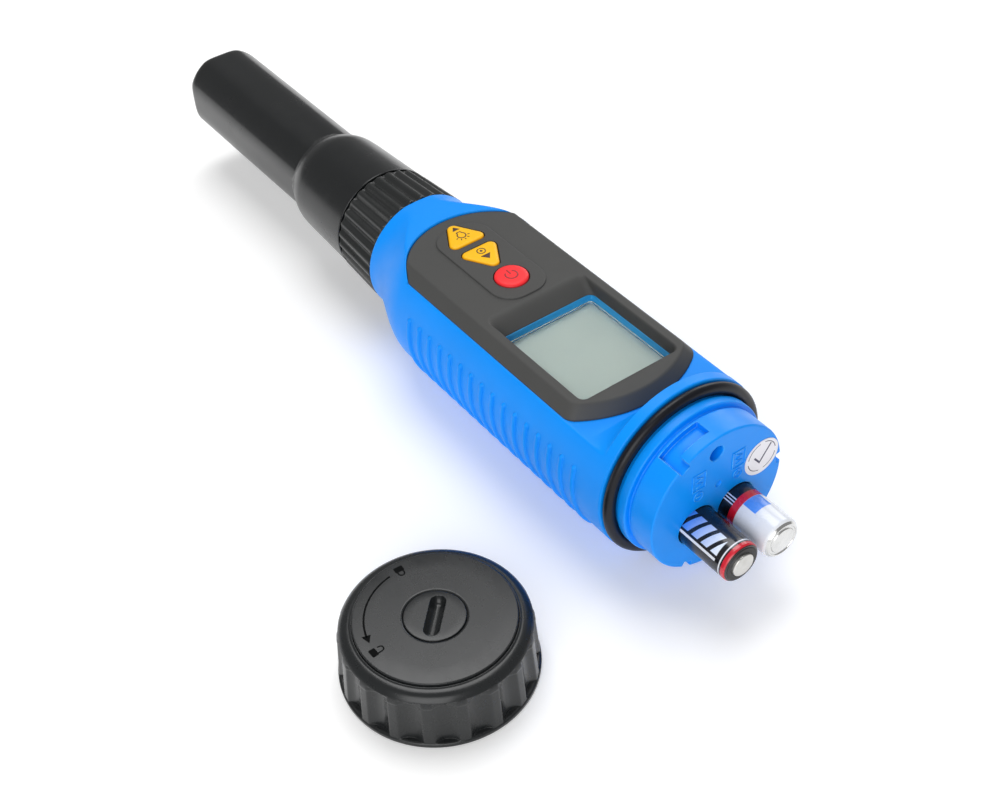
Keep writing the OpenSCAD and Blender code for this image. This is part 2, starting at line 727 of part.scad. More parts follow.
housing();
front_panel();
display_frame();
window_lens();
lcd_glass();
backlight_plate();
circuit_board();
button_mat();
board_screws();
neck_connector();
rear_o_ring();
battery_plug();
bayonet_wall();
cell_tubes();
plug_screw();
inner_contacts();
round_sticker();
button_light();
button_mode();
button_power();
left_cell_can();
left_cell_label();
left_cell_seal();
right_cell_can();
right_cell_label();
right_cell_seal();
electrode_base();
electrode_seals();
connector_pins();
probe_stem();
sensor_guard();
glass_bulb();
junction_ring();
temperature_pin();
collar_ring();
collar_washer();
protective_cap();
storage_sponge();
cap_grip_ring();
cap_shell();
cap_top_disc();
cap_coin_disc();
contact_carrier();
contact_bridge();
contact_springs();
carrier_rivet();
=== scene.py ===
import math

import bpy
import numpy as np
from mathutils import Matrix, Vector


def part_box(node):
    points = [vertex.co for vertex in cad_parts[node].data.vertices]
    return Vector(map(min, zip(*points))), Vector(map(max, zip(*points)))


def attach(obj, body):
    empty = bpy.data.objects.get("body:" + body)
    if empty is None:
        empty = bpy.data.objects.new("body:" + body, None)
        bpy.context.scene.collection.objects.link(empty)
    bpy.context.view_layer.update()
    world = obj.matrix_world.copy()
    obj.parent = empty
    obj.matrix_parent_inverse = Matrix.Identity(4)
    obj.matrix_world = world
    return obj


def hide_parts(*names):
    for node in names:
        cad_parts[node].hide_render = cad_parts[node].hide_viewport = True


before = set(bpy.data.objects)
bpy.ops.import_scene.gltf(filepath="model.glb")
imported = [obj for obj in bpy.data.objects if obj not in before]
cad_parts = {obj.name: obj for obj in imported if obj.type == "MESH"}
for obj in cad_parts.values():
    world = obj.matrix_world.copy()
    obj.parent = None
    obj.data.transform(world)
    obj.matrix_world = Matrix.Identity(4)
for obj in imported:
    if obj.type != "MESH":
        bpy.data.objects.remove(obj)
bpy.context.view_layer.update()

# ---------- sizes, in millimetres in the row frame ----------
AXIS = 23.8  # height of the meter's axis above the rest pad
BODY_R = 23.8
NECK_R = 17.4
PANEL_H = 16.5  # the panel's top above the axis
SEAT_H = 13.0
CAP = (49.1, -67.8)
CELL_H = -5.1
CELL_Y = 6
SLOT_ENTRIES = (124, 244, 4)  # degrees round the axis
PLUG_FACE = 66.0
STICKER_FACE = 66.1
RIB_FIRST, RIB_PITCH, RIB_COUNT = -25.9, 4.55, 16
COLLAR_X0, COLLAR_X1 = -72.6, -55.35
CAP_FLUTES = 18


# ---------- mesh helpers ----------
def rounded(points, seg=4, closed=False):
    """A line with rounded corners: a point's third number is how far from the corner its curve starts."""
    out = []
    n = len(points)
    for i, p in enumerate(points):
        end = not closed and i in (0, n - 1)
        if len(p) < 3 or end:
            out.append((p[0], p[1]))
            continue
        a, b, c = Vector(points[i - 1][:2]), Vector(p[:2]), Vector(points[(i + 1) % n][:2])
        u, v = a - b, c - b
        t = min(p[2], 0.49 * u.length, 0.49 * v.length)
        start, stop = b + u.normalized() * t, b + v.normalized() * t
        for k in range(seg + 1):
            s = k / seg
            q = start * (1 - s) ** 2 + b * 2 * s * (1 - s) + stop * s * s
            out.append((q.x, q.y))
    return out


def arc(cx, cy, r, a0, a1, n):
    return [
        (cx + r * math.cos(math.radians(a0 + (a1 - a0) * i / n)),
         cy + r * math.sin(math.radians(a0 + (a1 - a0) * i / n)))
        for i in range(n + 1)
    ]


def smin(a, b, k):
    """The lower of two values, blended over k."""
    h = np.clip(0.5 + 0.5 * (b - a) / k, 0, 1)
    return b * (1 - h) + a * h - k * h * (1 - h)


def smooth_normals(obj):
    w = obj.modifiers.new("normals", "WEIGHTED_NORMAL")
    w.keep_sharp = True
    w.weight = 60


def to_object(name, verts, faces, mat, sharp=38, weighted=True):
    me = bpy.data.meshes.new(name)
    me.from_pydata([tuple(v) for v in np.asarray(verts, float) * 0.001], [], faces)
    me.validate()
    me.shade_smooth()
    me.set_sharp_from_angle(angle=math.radians(sharp))
    for m in mat if isinstance(mat, (list, tuple)) else [mat]:
        me.materials.append(m)
    obj = bpy.data.objects.new(name, me)
    bpy.context.scene.collection.objects.link(obj)
    if weighted:
        smooth_normals(obj)
    return obj


def loops(name, rings, mat, closed=False, caps=(True, True), **kw):
    """A skin over rings of points, all with the same count; a ring of one point is a pole."""
    verts, faces, starts = [], [], []
    for r in rings:
        starts.append(len(verts))
        verts.extend(r)
    n = len(rings)
    for i in range(n if closed else n - 1):
        a, b = starts[i], starts[(i + 1) % n]
        na, nb = len(rings[i]), len(rings[(i + 1) % n])
        m = max(na, nb)
        for j in range(m):
            k = (j + 1) % m
            if na == 1:
                faces.append((a, b + k, b + j))
            elif nb == 1:
                faces.append((a + j, a + k, b))
            else:
                faces.append((a + j, a + k, b + k, b + j))
    if not closed:
        if caps[0] and len(rings[0]) > 2:
            faces.append(tuple(range(len(rings[0]) - 1, -1, -1)))
        if caps[1] and len(rings[-1]) > 2:
            faces.append(tuple(starts[-1] + j for j in range(len(rings[-1]))))
    if closed or all(caps):
        p = np.asarray(verts, float)
        p = p - p.mean(0)
        tri = np.array([(f[0], f[i], f[i + 1]) for f in faces for i in range(1, len(f) - 1)])
        volume = np.einsum("ij,ij->", p[tri[:, 0]], np.cross(p[tri[:, 1]], p[tri[:, 2]]))
        if volume < 0:
            faces = [f[::-1] for f in faces]
    return to_object(name, verts, faces, mat, **kw)


def on_meter(x, r, th, y=0.0, h=0.0):
    """Points round the meter's axis, or round a line beside it."""
    return np.stack([np.full_like(th, x), y + r * np.cos(th), AXIS + h + r * np.sin(th)], 1)


def angles(n):
    return np.linspace(0, 2 * math.pi, n, endpoint=False)


def lathe(name, profile, mat, n=160, y=0.0, h=0.0, closed=False, **kw):
    """Turned round a line along X: profile points are (x, r)."""
    th = angles(n)
    rings = []
    for x, r in profile:
        rings.append(on_meter(x, r, th, y, h) if r > 1e-6 else on_meter(x, 0.0, th[:1], y, h))
    return loops(name, rings, mat, closed=closed, **kw)


def upright(name, profile, mat, n=160, cx=0.0, cy=0.0, closed=False, **kw):
    """Turned round a vertical line: profile points are (r, z)."""
    th = -angles(n)
    rings = []
    for r, z in profile:
        if r > 1e-6:
            rings.append(np.stack([cx + r * np.cos(th), cy + r * np.sin(th), np.full_like(th, z)], 1))
        else:
            rings.append(np.array([[cx, cy, z]]))
    return loops(name, rings, mat, closed=closed, **kw)


def inset(outline, d):
    """The outline moved inwards by d, counter-clockwise outlines only."""
    p = np.asarray(outline, float)
    a, c = np.roll(p, 1, 0), np.roll(p, -1, 0)
    e0, e1 = p - a, c - p
    e0 /= np.maximum(np.linalg.norm(e0, axis=1, keepdims=True), 1e-9)
    e1 /= np.maximum(np.linalg.norm(e1, axis=1, keepdims=True), 1e-9)
    n0, n1 = np.stack([-e0[:, 1], e0[:, 0]], 1), np.stack([-e1[:, 1], e1[:, 0]], 1)
    m = n0 + n1
    m /= np.maximum(np.linalg.norm(m, axis=1, keepdims=True), 1e-9)
    cosine = np.maximum((m * n0).sum(1, keepdims=True), 0.35)
    return p + m * d / cosine


def flat(p, z):
    return np.column_stack([p, np.full(len(p), z)])


def stack(name, outline, levels, mat, face="up", **kw):
    """A plate with levels (inset, height) from bottom to top: up along Z or, with "end", along +X."""
    rings = []
    for d, z in levels:
        q = flat(inset(outline, d), z)
        rings.append(np.stack([q[:, 2], q[:, 0], q[:, 1] + AXIS], 1) if face == "end" else q)
    return loops(name, rings, mat, **kw)


def combine(obj, others, operation="DIFFERENCE"):
    """Cuts or adds solids, then removes them."""
    for o in others:
        m = obj.modifiers.new("b", "BOOLEAN")
        m.operation = operation
        m.solver = "MANIFOLD"
        m.object = o
    tail = [m for m in obj.modifiers if m.type == "WEIGHTED_NORMAL"]
    for m in tail:
        obj.modifiers.remove(m)
    bpy.context.view_layer.update()
    dg = bpy.context.evaluated_depsgraph_get()
    me = bpy.data.meshes.new_from_object(obj.evaluated_get(dg))
    obj.modifiers.clear()
    old = obj.data
    obj.data = me
    bpy.data.meshes.remove(old)
    for o in others:
        bpy.data.objects.remove(o)
    me.shade_smooth()
    me.set_sharp_from_angle(angle=math.radians(30))
    smooth_normals(obj)


def block(name, x0, x1, y0, y1, z0, z1):
    v = [(x, y, z) for x in (x0, x1) for y in (y0, y1) for z in (z0, z1)]
    f = [(0, 1, 3, 2), (4, 6, 7, 5), (0, 4, 5, 1), (2, 3, 7, 6), (0, 2, 6, 4), (1, 5, 7, 3)]
    return to_object(name, v, f, [], weighted=False)


def tube(name, points, radius, mat, n=10):
    """A round wire along points."""
    p = np.asarray(points, float)
    t = np.gradient(p, axis=0)
    t /= np.linalg.norm(t, axis=1, keepdims=True)
    up = np.array([0.0, 0.0, 1.0])
    rings = []
    side = np.cross(t[0], up if abs(t[0] @ up) < 0.9 else np.array([1.0, 0, 0]))
    th = angles(n)
    for q, d in zip(p, t):
        side = side - d * (side @ d)
        side /= np.linalg.norm(side)
        other = np.cross(d, side)
        rings.append(q + radius * (np.cos(th)[:, None] * side + np.sin(th)[:, None] * other))
    return loops(name, rings, mat)


def round_rect(x0, x1, y0, y1, r, n=8):
    return (
        arc(x1 - r, y1 - r, r, 0, 90, n)
        + arc(x0 + r, y1 - r, r, 90, 180, n)
        + arc(x0 + r, y0 + r, r, 180, 270, n)
        + arc(x1 - r, y0 + r, r, 270, 360, n)
    )


# ---------- materials ----------
def srgb(r, g, b):
    """Linear colour of a display colour, 0 to 255."""
    linear = (((c / 255 + 0.055) / 1.055) ** 2.4 if c > 10 else c / 255 / 12.92 for c in (r, g, b))
    return tuple(linear) + (1.0,)


class Nodes:
    """Short calls for building one material's node tree."""

    def __init__(self, name):
        self.mat = bpy.data.materials.new(name)
        self.mat.use_nodes = True
        self.t = self.mat.node_tree
        self.bsdf = self.t.nodes["Principled BSDF"]
        self.coord = self.t.nodes.new("ShaderNodeTexCoord").outputs["Object"]

    def put(self, socket, value):
        if isinstance(value, bpy.types.NodeSocket):
            self.t.links.new(value, socket)
        elif value is not None:
            socket.default_value = value

    def noise(self, scale, detail=3.0, rough=0.55):
        n = self.t.nodes.new("ShaderNodeTexNoise")
        n.inputs["Scale"].default_value = scale
        n.inputs["Detail"].default_value = detail
        n.inputs["Roughness"].default_value = rough
        self.put(n.inputs["Vector"], self.coord)
        return n.outputs["Fac"]

    def voronoi(self, scale):
        n = self.t.nodes.new("ShaderNodeTexVoronoi")
        n.inputs["Scale"].default_value = scale
        self.put(n.inputs["Vector"], self.coord)
        return n.outputs["Distance"]

    def math(self, op, a, b=None):
        n = self.t.nodes.new("ShaderNodeMath")
        n.operation = op
        for s, v in zip(n.inputs, (a, b)):
            self.put(s, v)
        return n.outputs[0]

    def span(self, value, a, b, lo=0.0, hi=1.0):
        n = self.t.nodes.new("ShaderNodeMapRange")
        n.inputs["From Min"].default_value = a
        n.inputs["From Max"].default_value = b
        n.inputs["To Min"].default_value = lo
        n.inputs["To Max"].default_value = hi
        self.put(n.inputs["Value"], value)
        return n.outputs["Result"]

    def mix(self, fac, a, b):
        n = self.t.nodes.new("ShaderNodeMix")
        n.data_type = "RGBA"
        self.put(n.inputs[0], fac)
        self.put(n.inputs[6], a)
        self.put(n.inputs[7], b)
        return n.outputs[2]

    def axes(self):
        n = self.t.nodes.new("ShaderNodeSeparateXYZ")
        self.put(n.inputs[0], self.coord)
        return n.outputs

    def band(self, value, a, b, soft=0.00008):
        """1 between a and b, metres."""
        up = self.span(value, a - soft, a + soft)
        down = self.span(value, b - soft, b + soft, 1.0, 0.0)
        return self.math("MULTIPLY", up, down)

    def edge(self, radius):
        """Rounded normal and a mask of worn edges."""
        b = self.t.nodes.new("ShaderNodeBevel")
        b.samples = 6
        b.inputs["Radius"].default_value = radius
        g = self.t.nodes.new("ShaderNodeNewGeometry")
        d = self.t.nodes.new("ShaderNodeVectorMath")
        d.operation = "DOT_PRODUCT"
        self.t.links.new(b.outputs[0], d.inputs[0])
        self.t.links.new(g.outputs["Normal"], d.inputs[1])
        return b.outputs[0], self.span(d.outputs["Value"], 0.995, 0.9)

    def bump(self, height, strength, distance, normal=None):
        n = self.t.nodes.new("ShaderNodeBump")
        n.inputs["Strength"].default_value = strength
        n.inputs["Distance"].default_value = distance
        self.put(n.inputs["Height"], height)
        self.put(n.inputs["Normal"], normal)
        return n.outputs[0]


def moulded(name, colour, rough=0.38, vary=0.04, grain=2200, grain_strength=0.25, bevel=0.00025,
            wear=0.18, wear_colour=None, specular=0.5, sss=0.0, tint=None):
    """Moulded plastic or rubber: fine grain, faint flow marks, softened and slightly polished edges."""
    n = Nodes(name)
    b = n.bsdf
    # tint, where given, makes the base colour; the keys use it to paint shade on their lower sides
    base = tint(n) if tint else colour
    flow = n.noise(60, 4, 0.6)
    dark = tuple(c * 0.9 for c in colour[:3]) + (1,)
    col = n.mix(n.span(flow, 0.35, 0.7, 0.0, 0.5), base, dark)
    normal, worn = n.edge(bevel)
    scuff = n.span(n.noise(420, 5, 0.7), 0.4, 0.7)
    light = wear_colour or tuple(min(1, c * 1.25 + 0.05) for c in colour[:3]) + (1,)
    mask = n.math("MULTIPLY", n.math("MULTIPLY", worn, scuff), wear)
    n.put(b.inputs["Base Color"], n.mix(mask, col, light))
    r = n.math("ADD", n.span(n.noise(150, 4, 0.65), 0.3, 0.7, rough - vary, rough + vary),
               n.math("MULTIPLY", worn, -0.06))
    n.put(b.inputs["Roughness"], r)
    b.inputs["Specular IOR Level"].default_value = specular
    if sss:
        b.inputs["Subsurface Weight"].default_value = sss
        b.inputs["Subsurface Radius"].default_value = (0.0008, 0.0008, 0.0012)
    g = n.math("ADD", n.noise(grain, 2, 0.5), n.math("MULTIPLY", n.noise(grain * 0.3, 2), 0.6))
    n.put(b.inputs["Normal"], n.bump(g, grain_strength, 0.00002, normal))
    return n.mat


def metal(name, colour, rough, brushed=0.0):
    """Bright metal with faint tarnish and scratches."""
    n = Nodes(name)
    b = n.bsdf
    b.inputs["Metallic"].default_value = 1.0
    normal = n.edge(0.00012)[0]
    tarnish = n.span(n.noise(300, 4, 0.6), 0.4, 0.75, 0.0, 0.5)
    n.put(b.inputs["Base Color"], n.mix(tarnish, colour, tuple(c * 0.75 for c in colour[:3]) + (1,)))
    n.put(b.inputs["Roughness"], n.span(n.noise(700, 5, 0.7), 0.3, 0.7, rough * 0.75, rough * 1.35))
    n.put(b.inputs["Normal"], n.bump(n.noise(2600, 3), 0.15 + brushed, 0.00001, normal))
    return n.mat


BLUE = srgb(0, 146, 252)
body_blue = moulded("body_blue", BLUE, rough=0.42, vary=0.05, grain=2600, grain_strength=0.3,
                    wear_colour=srgb(90, 195, 255), wear=0.5, specular=0.2, bevel=0.0003)
plug_blue = moulded("plug_blue", BLUE, rough=0.36, vary=0.05, grain=1900, grain_strength=0.12,
                    wear_colour=srgb(110, 205, 255), wear=1.6, specular=0.25, bevel=0.0003)
panel_grey = moulded("panel_grey", srgb(74, 74, 73), rough=0.5, vary=0.04, grain=3000, grain_strength=0.25,
                     wear_colour=srgb(112, 112, 112), wear=0.4, specular=0.18, bevel=0.0003)
# Painted shade: a darker copy of the panel grey, for panel walls that face away from the light
shaded_wall_grey = moulded("shaded_wall_grey", srgb(52, 54, 54), rough=0.5, vary=0.04, grain=3000, grain_strength=0.2,
                    wear_colour=srgb(90, 92, 92), wear=0.3, specular=0.3, bevel=0.0002)
cap_black = moulded("cap_black", srgb(29, 31, 32), rough=0.27, vary=0.04, grain=1500, grain_strength=0.03,
                    wear_colour=srgb(100, 100, 100), wear=0.12, specular=0.42, bevel=0.0002)
mark_black = moulded("mark_black", srgb(15, 16, 16), rough=0.75, vary=0.03, grain=1500, grain_strength=0.05,
                     wear=0.0, specular=0.05, bevel=0.0001)
collar_black = moulded("collar_black", srgb(30, 32, 32), rough=0.3, vary=0.05, grain=1700,
                       grain_strength=0.12, wear_colour=srgb(95, 95, 95), wear=0.4, bevel=0.0002)
sleeve_black = moulded("sleeve_black", srgb(21, 23, 24), rough=0.24, vary=0.04, grain=1500,
                       grain_strength=0.05, wear_colour=srgb(110, 110, 110), wear=0.3, bevel=0.0003)
rubber = moulded("rubber", srgb(13, 14, 22), rough=0.36, vary=0.05, grain=1200, grain_strength=0.1,
                 wear_colour=srgb(60, 60, 62), wear=0.15, specular=0.3, bevel=0.0001)
mat_grey = moulded("mat_grey", srgb(188, 190, 194), rough=0.6, grain=1800, wear=0.1)
frame_blue = moulded("frame_blue", srgb(40, 160, 226), rough=0.4, grain=2000, grain_strength=0.1, wear=0.2)
board_green = moulded("board_green", srgb(18, 96, 52), rough=0.4, grain=900, grain_strength=0.3, wear=0.1)
light_guide = moulded("light_guide", srgb(226, 230, 228), rough=0.3, grain=1500, wear=0.05)
probe_black = moulded("probe_black", srgb(30, 31, 32), rough=0.38, grain=1600,
                      wear_colour=srgb(90, 90, 90), wear=0.3)
washer_white = moulded("washer_white", srgb(222, 222, 214), rough=0.45, wear=0.1)
sticker_white = moulded("sticker_white", srgb(242, 240, 246), rough=0.5, grain=1500, grain_strength=0.06,
                        wear=0.05)
sticker_ink = moulded("sticker_ink", srgb(70, 66, 92), rough=0.55, grain=1500, wear=0.0, bevel=0.00004)
insulator = moulded("insulator", srgb(26, 24, 24), rough=0.5, grain=1600, wear=0.1)
ceramic = moulded("ceramic", srgb(226, 222, 210), rough=0.65, grain=2600, grain_strength=0.4, wear=0.05)
screw_steel = metal("screw_steel", (0.62, 0.62, 0.64, 1), 0.3)
cell_steel = metal("cell_steel", (0.72, 0.72, 0.71, 1), 0.2)
nub_steel = metal("nub_steel", (0.66, 0.65, 0.62, 1), 0.34, brushed=0.2)
contact_gold = metal("contact_gold", (0.86, 0.66, 0.32, 1), 0.28)
spring_steel = metal("spring_steel", (0.6, 0.6, 0.62, 1), 0.28)


def key_material_with_painted_shade(name, colour, low):
    # Painted shade: from the top down, the key's colour grades by height into the darker low colour on its
    # sides
    def tint(n):
        z = n.axes()[2]
        top = n.span(z, (AXIS + PANEL_H + 0.1) * 0.001, (AXIS + PANEL_H + 0.75) * 0.001)
        return n.mix(top, low, colour)

    return moulded(name, colour, rough=0.4, vary=0.03, grain=1400, grain_strength=0.06, bevel=0.0003,
                   wear_colour=tuple(min(1, c * 1.2 + 0.08) for c in colour[:3]) + (1,), wear=0.5,
                   specular=0.25, sss=0.08, tint=tint)


# Each key has its own colour on top and a darker copy of it, painted as shade on its lower sides
key_amber = key_material_with_painted_shade("key_amber", srgb(252, 192, 16), srgb(232, 128, 6))
key_red = key_material_with_painted_shade("key_red", srgb(252, 50, 56), srgb(170, 14, 22))
key_ink = moulded("key_ink", srgb(66, 34, 14), rough=0.5, grain=1400, wear=0.0, bevel=0.00004)
red_ink = moulded("red_ink", srgb(140, 22, 30), rough=0.5, grain=1400, wear=0.0, bevel=0.00004)


def lcd_material():
    n = Nodes("lcd")
    b = n.bsdf
    cloud = n.noise(45, 3, 0.5)
    col = n.mix(n.span(cloud, 0.35, 0.7), srgb(206, 218, 212), srgb(198, 211, 207))
    pixels = n.voronoi(3000)
    n.put(b.inputs["Base Color"], n.mix(n.span(pixels, 0.2, 0.8, 0, 0.06), col, srgb(180, 190, 184)))
    n.put(b.inputs["Roughness"], n.span(n.noise(200, 3), 0.3, 0.7, 0.3, 0.42))
    b.inputs["Specular IOR Level"].default_value = 0.2
    n.put(b.inputs["Normal"], n.bump(n.noise(1800, 2), 0.04, 0.00001))
    return n.mat


def clear_material(name, tint, rough):
    n = Nodes(name)
    b = n.bsdf
    b.inputs["Base Color"].default_value = tint
    b.inputs["Transmission Weight"].default_value = 1.0
    b.inputs["IOR"].default_value = 1.3
    n.put(b.inputs["Roughness"], n.span(n.noise(120, 4), 0.4, 0.75, rough, rough + 0.05))
    n.put(b.inputs["Normal"], n.bump(n.noise(500, 3), 0.03, 0.00001))
    return n.mat


lcd_mat = lcd_material()
lens_clear = clear_material("lens_clear", (0.97, 0.99, 0.98, 1), 0.02)
bulb_glass = clear_material("bulb_glass", (0.92, 0.97, 0.96, 1), 0.01)


def sponge_material():
    n = Nodes("sponge")
    b = n.bsdf
    pores = n.voronoi(900)
    n.put(b.inputs["Base Color"], n.mix(n.span(pores, 0.1, 0.6), srgb(150, 128, 40), srgb(236, 216, 120)))
    n.put(b.inputs["Roughness"], n.span(n.noise(500), 0.3, 0.7, 0.8, 0.95))
    n.put(b.inputs["Normal"], n.bump(pores, 0.8, 0.0003))
    return n.mat


sponge = sponge_material()


# ---------- housing ----------
def below(height, th):
    """Radius at which a flat surface at this height above the axis is met, far away where it isn't."""
    s = np.sin(np.radians(th))
    return np.where(s > 0.05, height / np.maximum(s, 0.05), 500.0)


def trimmed(x, r, th):
    """The housing's radius cut down by the neck deck, the panel seat and the scoop behind the panel."""
    low = smin(r, below(SEAT_H if x >= -31 else 16.9, th), 0.3)
    if x <= 42.8:
        return low
    rise = min(1.0, (x - 42.8) / 6.8) ** 1.5
    return low + (r - low) * rise


def ribs(x, th):
    """Height of the raised grip ribs at x and angle th (degrees, -90 to 270)."""
    out = np.zeros_like(x)
    arc_mm = math.radians(1) * BODY_R
    end = 0.62
    for start, stop in ((165.0, 221.0), (-41.0, 15.0)):
        along = np.where(th < start, (start - th) * arc_mm, np.where(th > stop, (th - stop) * arc_mm, 0.0))
        i = np.clip(np.round((x - RIB_FIRST) / RIB_PITCH), 0, RIB_COUNT - 1)
        across = np.abs(x - (RIB_FIRST + i * RIB_PITCH))
        along = np.maximum(along + end, 0) * (along > 0)
        inside = (th >= start) & (th <= stop)
        near = np.minimum(np.abs(th - start), np.abs(th - stop)) * arc_mm
        back = np.where(inside, np.maximum(end - near, 0), along)
        d = np.hypot(across, back)
        out = np.maximum(out, 0.72 * np.sqrt(np.clip(1 - (d / 0.78) ** 2, 0, 1)))
    return out


def edge_round(t):
    """How far a quarter-round edge has fallen: 1 at its end, 0 from t = 1 on."""
    return 1 - np.sqrt(1 - (1 - np.clip(t, 0, 1)) ** 2)


def outer_radius(x, th):
    t = np.clip((x + 54) / 22, 0, 1)
    r = NECK_R + (BODY_R - NECK_R) * t * t * (3 - 2 * t)
    r = r - 0.35 * edge_round((x + 55.2) / 0.45) - 0.45 * edge_round((52.4 - x) / 0.5)
    return r + ribs(x, th)


def build_housing():
    xs = list(np.linspace(-55.2, -54.7, 5)) + list(np.arange(-54.4, -31.2, 0.3))
    xs += [-31.001, -31.0, -30.5, -29.6, -28.6, 42.3, 42.8, 43.1, 43.6]
    across_rib = np.array([0, 0.2, 0.38, 0.55, 0.68, 0.76, 0.8, 0.95, 1.7])
    for i in range(RIB_COUNT):
        c = RIB_FIRST + RIB_PITCH * i
        xs += list(c - across_rib) + list(c + across_rib)
    xs += list(np.arange(44.2, 51.6, 0.2)) + list(np.linspace(51.7, 52.4, 7))
    xs = np.array(sorted(set(round(v, 4) for v in xs)))
    th = np.concatenate([np.arange(-90, -44, 2.0), np.arange(-44, -38, 0.5), np.arange(-38, 10, 1.6),
                         np.arange(10, 20, 0.6), np.arange(20, 160, 0.7), np.arange(160, 170, 0.6),
                         np.arange(170, 218, 1.6), np.arange(218, 224, 0.5), np.arange(224, 270, 2.0)])
    rad = np.radians(th)
    rings = []
    for x in xs:
        r = outer_radius(np.full_like(th, x), th)
        rings.append(on_meter(x, trimmed(x, r, th), rad))
    # rear face, then the hollow back to the neck
    rings.append(on_meter(52.4, 23.0, rad))
    hollow = [(52.4, 21.6)] + [(x, 21.6) for x in np.arange(52.0, -28.1, -1.5)]
    hollow += [(-37, 10.0), (-44.4, 9.95), (-44.5, 12.0), (-65.6, 12.0), (-66.0, 12.4), (-66.0, 13.5),
               (-65.5, 13.94), (-55.2, 13.94)]
    for x, r0 in hollow:
        if x > 41:
            outer = trimmed(x, outer_radius(np.full_like(th, x), th), th)
            r = smin(np.minimum(r0, outer - 1.4), below(12.0 + max(0.0, x - 42.8) * 1.06, th), 0.2)
        elif x > -30:
            r = smin(np.full_like(th, r0), below(SEAT_H - 2.2, th), 0.2)
        else:
            r = np.full_like(th, r0)
        rings.append(on_meter(x, r, rad))
    obj = loops("housing_shell", rings, body_blue, closed=True, weighted=False)
    base = panel_outline(19.5 + 0.15, 0.15)
    lip = panel_outline(19.5 + 0.15, 0.42)
    seat = loops("seat_cut", [flat(base, AXIS + SEAT_H), flat(base, AXIS + 16.55),
                              flat(lip, AXIS + 16.95), flat(lip, AXIS + 30)], [], weighted=False)
    pocket = block("pocket_cut", -29, 37.0, -16.1, 16.1, AXIS + 4.6, AXIS + SEAT_H + 1)
    combine(obj, [block("rest_pad", -36, 36, -8, 8, 0.0, 4.0)], "UNION")
    combine(obj, [seat, pocket])
    return obj


def panel_outline(half, grow=0.0, rear=0.0):
    """Plan outline of the display panel for a given half width, counter-clockwise from above."""
    front_r, rear_r, c = 21.3, 30.6, 4.0
    fcx, rcx = -43.4 + front_r, 42.4 - rear_r
    R = front_r + grow
    a = math.degrees(math.asin(half / R))
    front = arc(fcx, 0, R, 180 - a, 180 + a, 40)
    RR = rear_r + grow - rear
    # corner circle tangent to the straight side and to the rear arc
    cy = half - c
    cx = rcx + math.sqrt(max((RR - c) ** 2 - cy * cy, 0.01))
    phi = math.degrees(math.atan2(cy, cx - rcx))
    middle = arc(rcx, 0, RR, -phi, phi, 28)[1:-1]
    back = arc(cx, -cy, c, -90, -phi, 8) + middle + arc(cx, cy, c, phi, 90, 8)
    x0 = front[-1][0]
    left = [(x0 * (1 - s) + cx * s, -half) for s in (0.02, 0.35, 0.65, 0.95)]
    return front + left + back + [(x, half) for x, _ in reversed(left)]


def build_panel():
    z = AXIS
    profile = [(19.5, 13.05), (19.5, 13.45), (19.42, 13.6), (17.62, 15.95), (17.42, 16.2), (17.2, 16.38),
               (16.95, 16.47), (16.7, 16.5)]
    rings = []
    for i, (half, h) in enumerate(profile):
        grow = (0, 0, 0, 0, -0.03, -0.1, -0.22, -0.4)[i]
        rear = (0, 0, 0.08, 1.85, 2.05, 2.2, 2.35, 2.5)[i]
        rings.append(flat(panel_outline(half, grow, rear), z + h))
    # The second slot holds the darker grey with shade painted in, for walls that face away from the light
    obj = loops("front_panel_cover", rings, [panel_grey, shaded_wall_grey], sharp=50)
    # raised key field
    field = round_rect(-39, -4, -7.9, 7.9, 6.2, 12)
    island = stack("key_field", field, [(0.0, z + 15.9), (0.0, z + 16.72), (0.06, z + 16.84),
                                        (0.18, z + 16.92), (0.4, z + 16.95)], panel_grey, weighted=False)
    combine(obj, [island], "UNION")
    # window opening: steep walls, filleted ramp on the key side
    rings = []
    steps = [(7.0, 0, 0, 0), (13.0, 0, 0, 0), (13.4, 0.5, 0.05, 0.05), (14.2, 1.4, 0.1, 0.1),
             (15.1, 2.5, 0.15, 0.15), (15.7, 3.3, 0.2, 0.2), (16.1, 4.0, 0.28, 0.28),
             (16.34, 4.6, 0.4, 0.4), (16.47, 5.15, 0.58, 0.58), (16.52, 5.7, 0.8, 0.8), (18, 5.8, 1.0, 1.0)]
    for h, front, side, rear in steps:
        rings.append(flat(round_rect(2.0 - front, 34.6 + rear, -14.4 - side, 14.4 + side, 2.0, 8), z + h))
    pocket = loops("window_cut", rings, panel_grey, weighted=False)
    hollow = stack("key_hollow", round_rect(-35, -3.5, -12, 12, 3), [(0, z + 12), (0, z + 14.4)], [],
                   weighted=False)
    holes = [stack(f"hole_{i}", key_outline(i, 0.22), [(0, z + 12), (0, z + 16.9), (-0.25, z + 17.4)],
                   [], weighted=False) for i in range(3)]
    combine(obj, [pocket, hollow, *holes])
    return obj


# ---------- keys ----------
KEY_X = (-34.4, -23.9, -12.3)


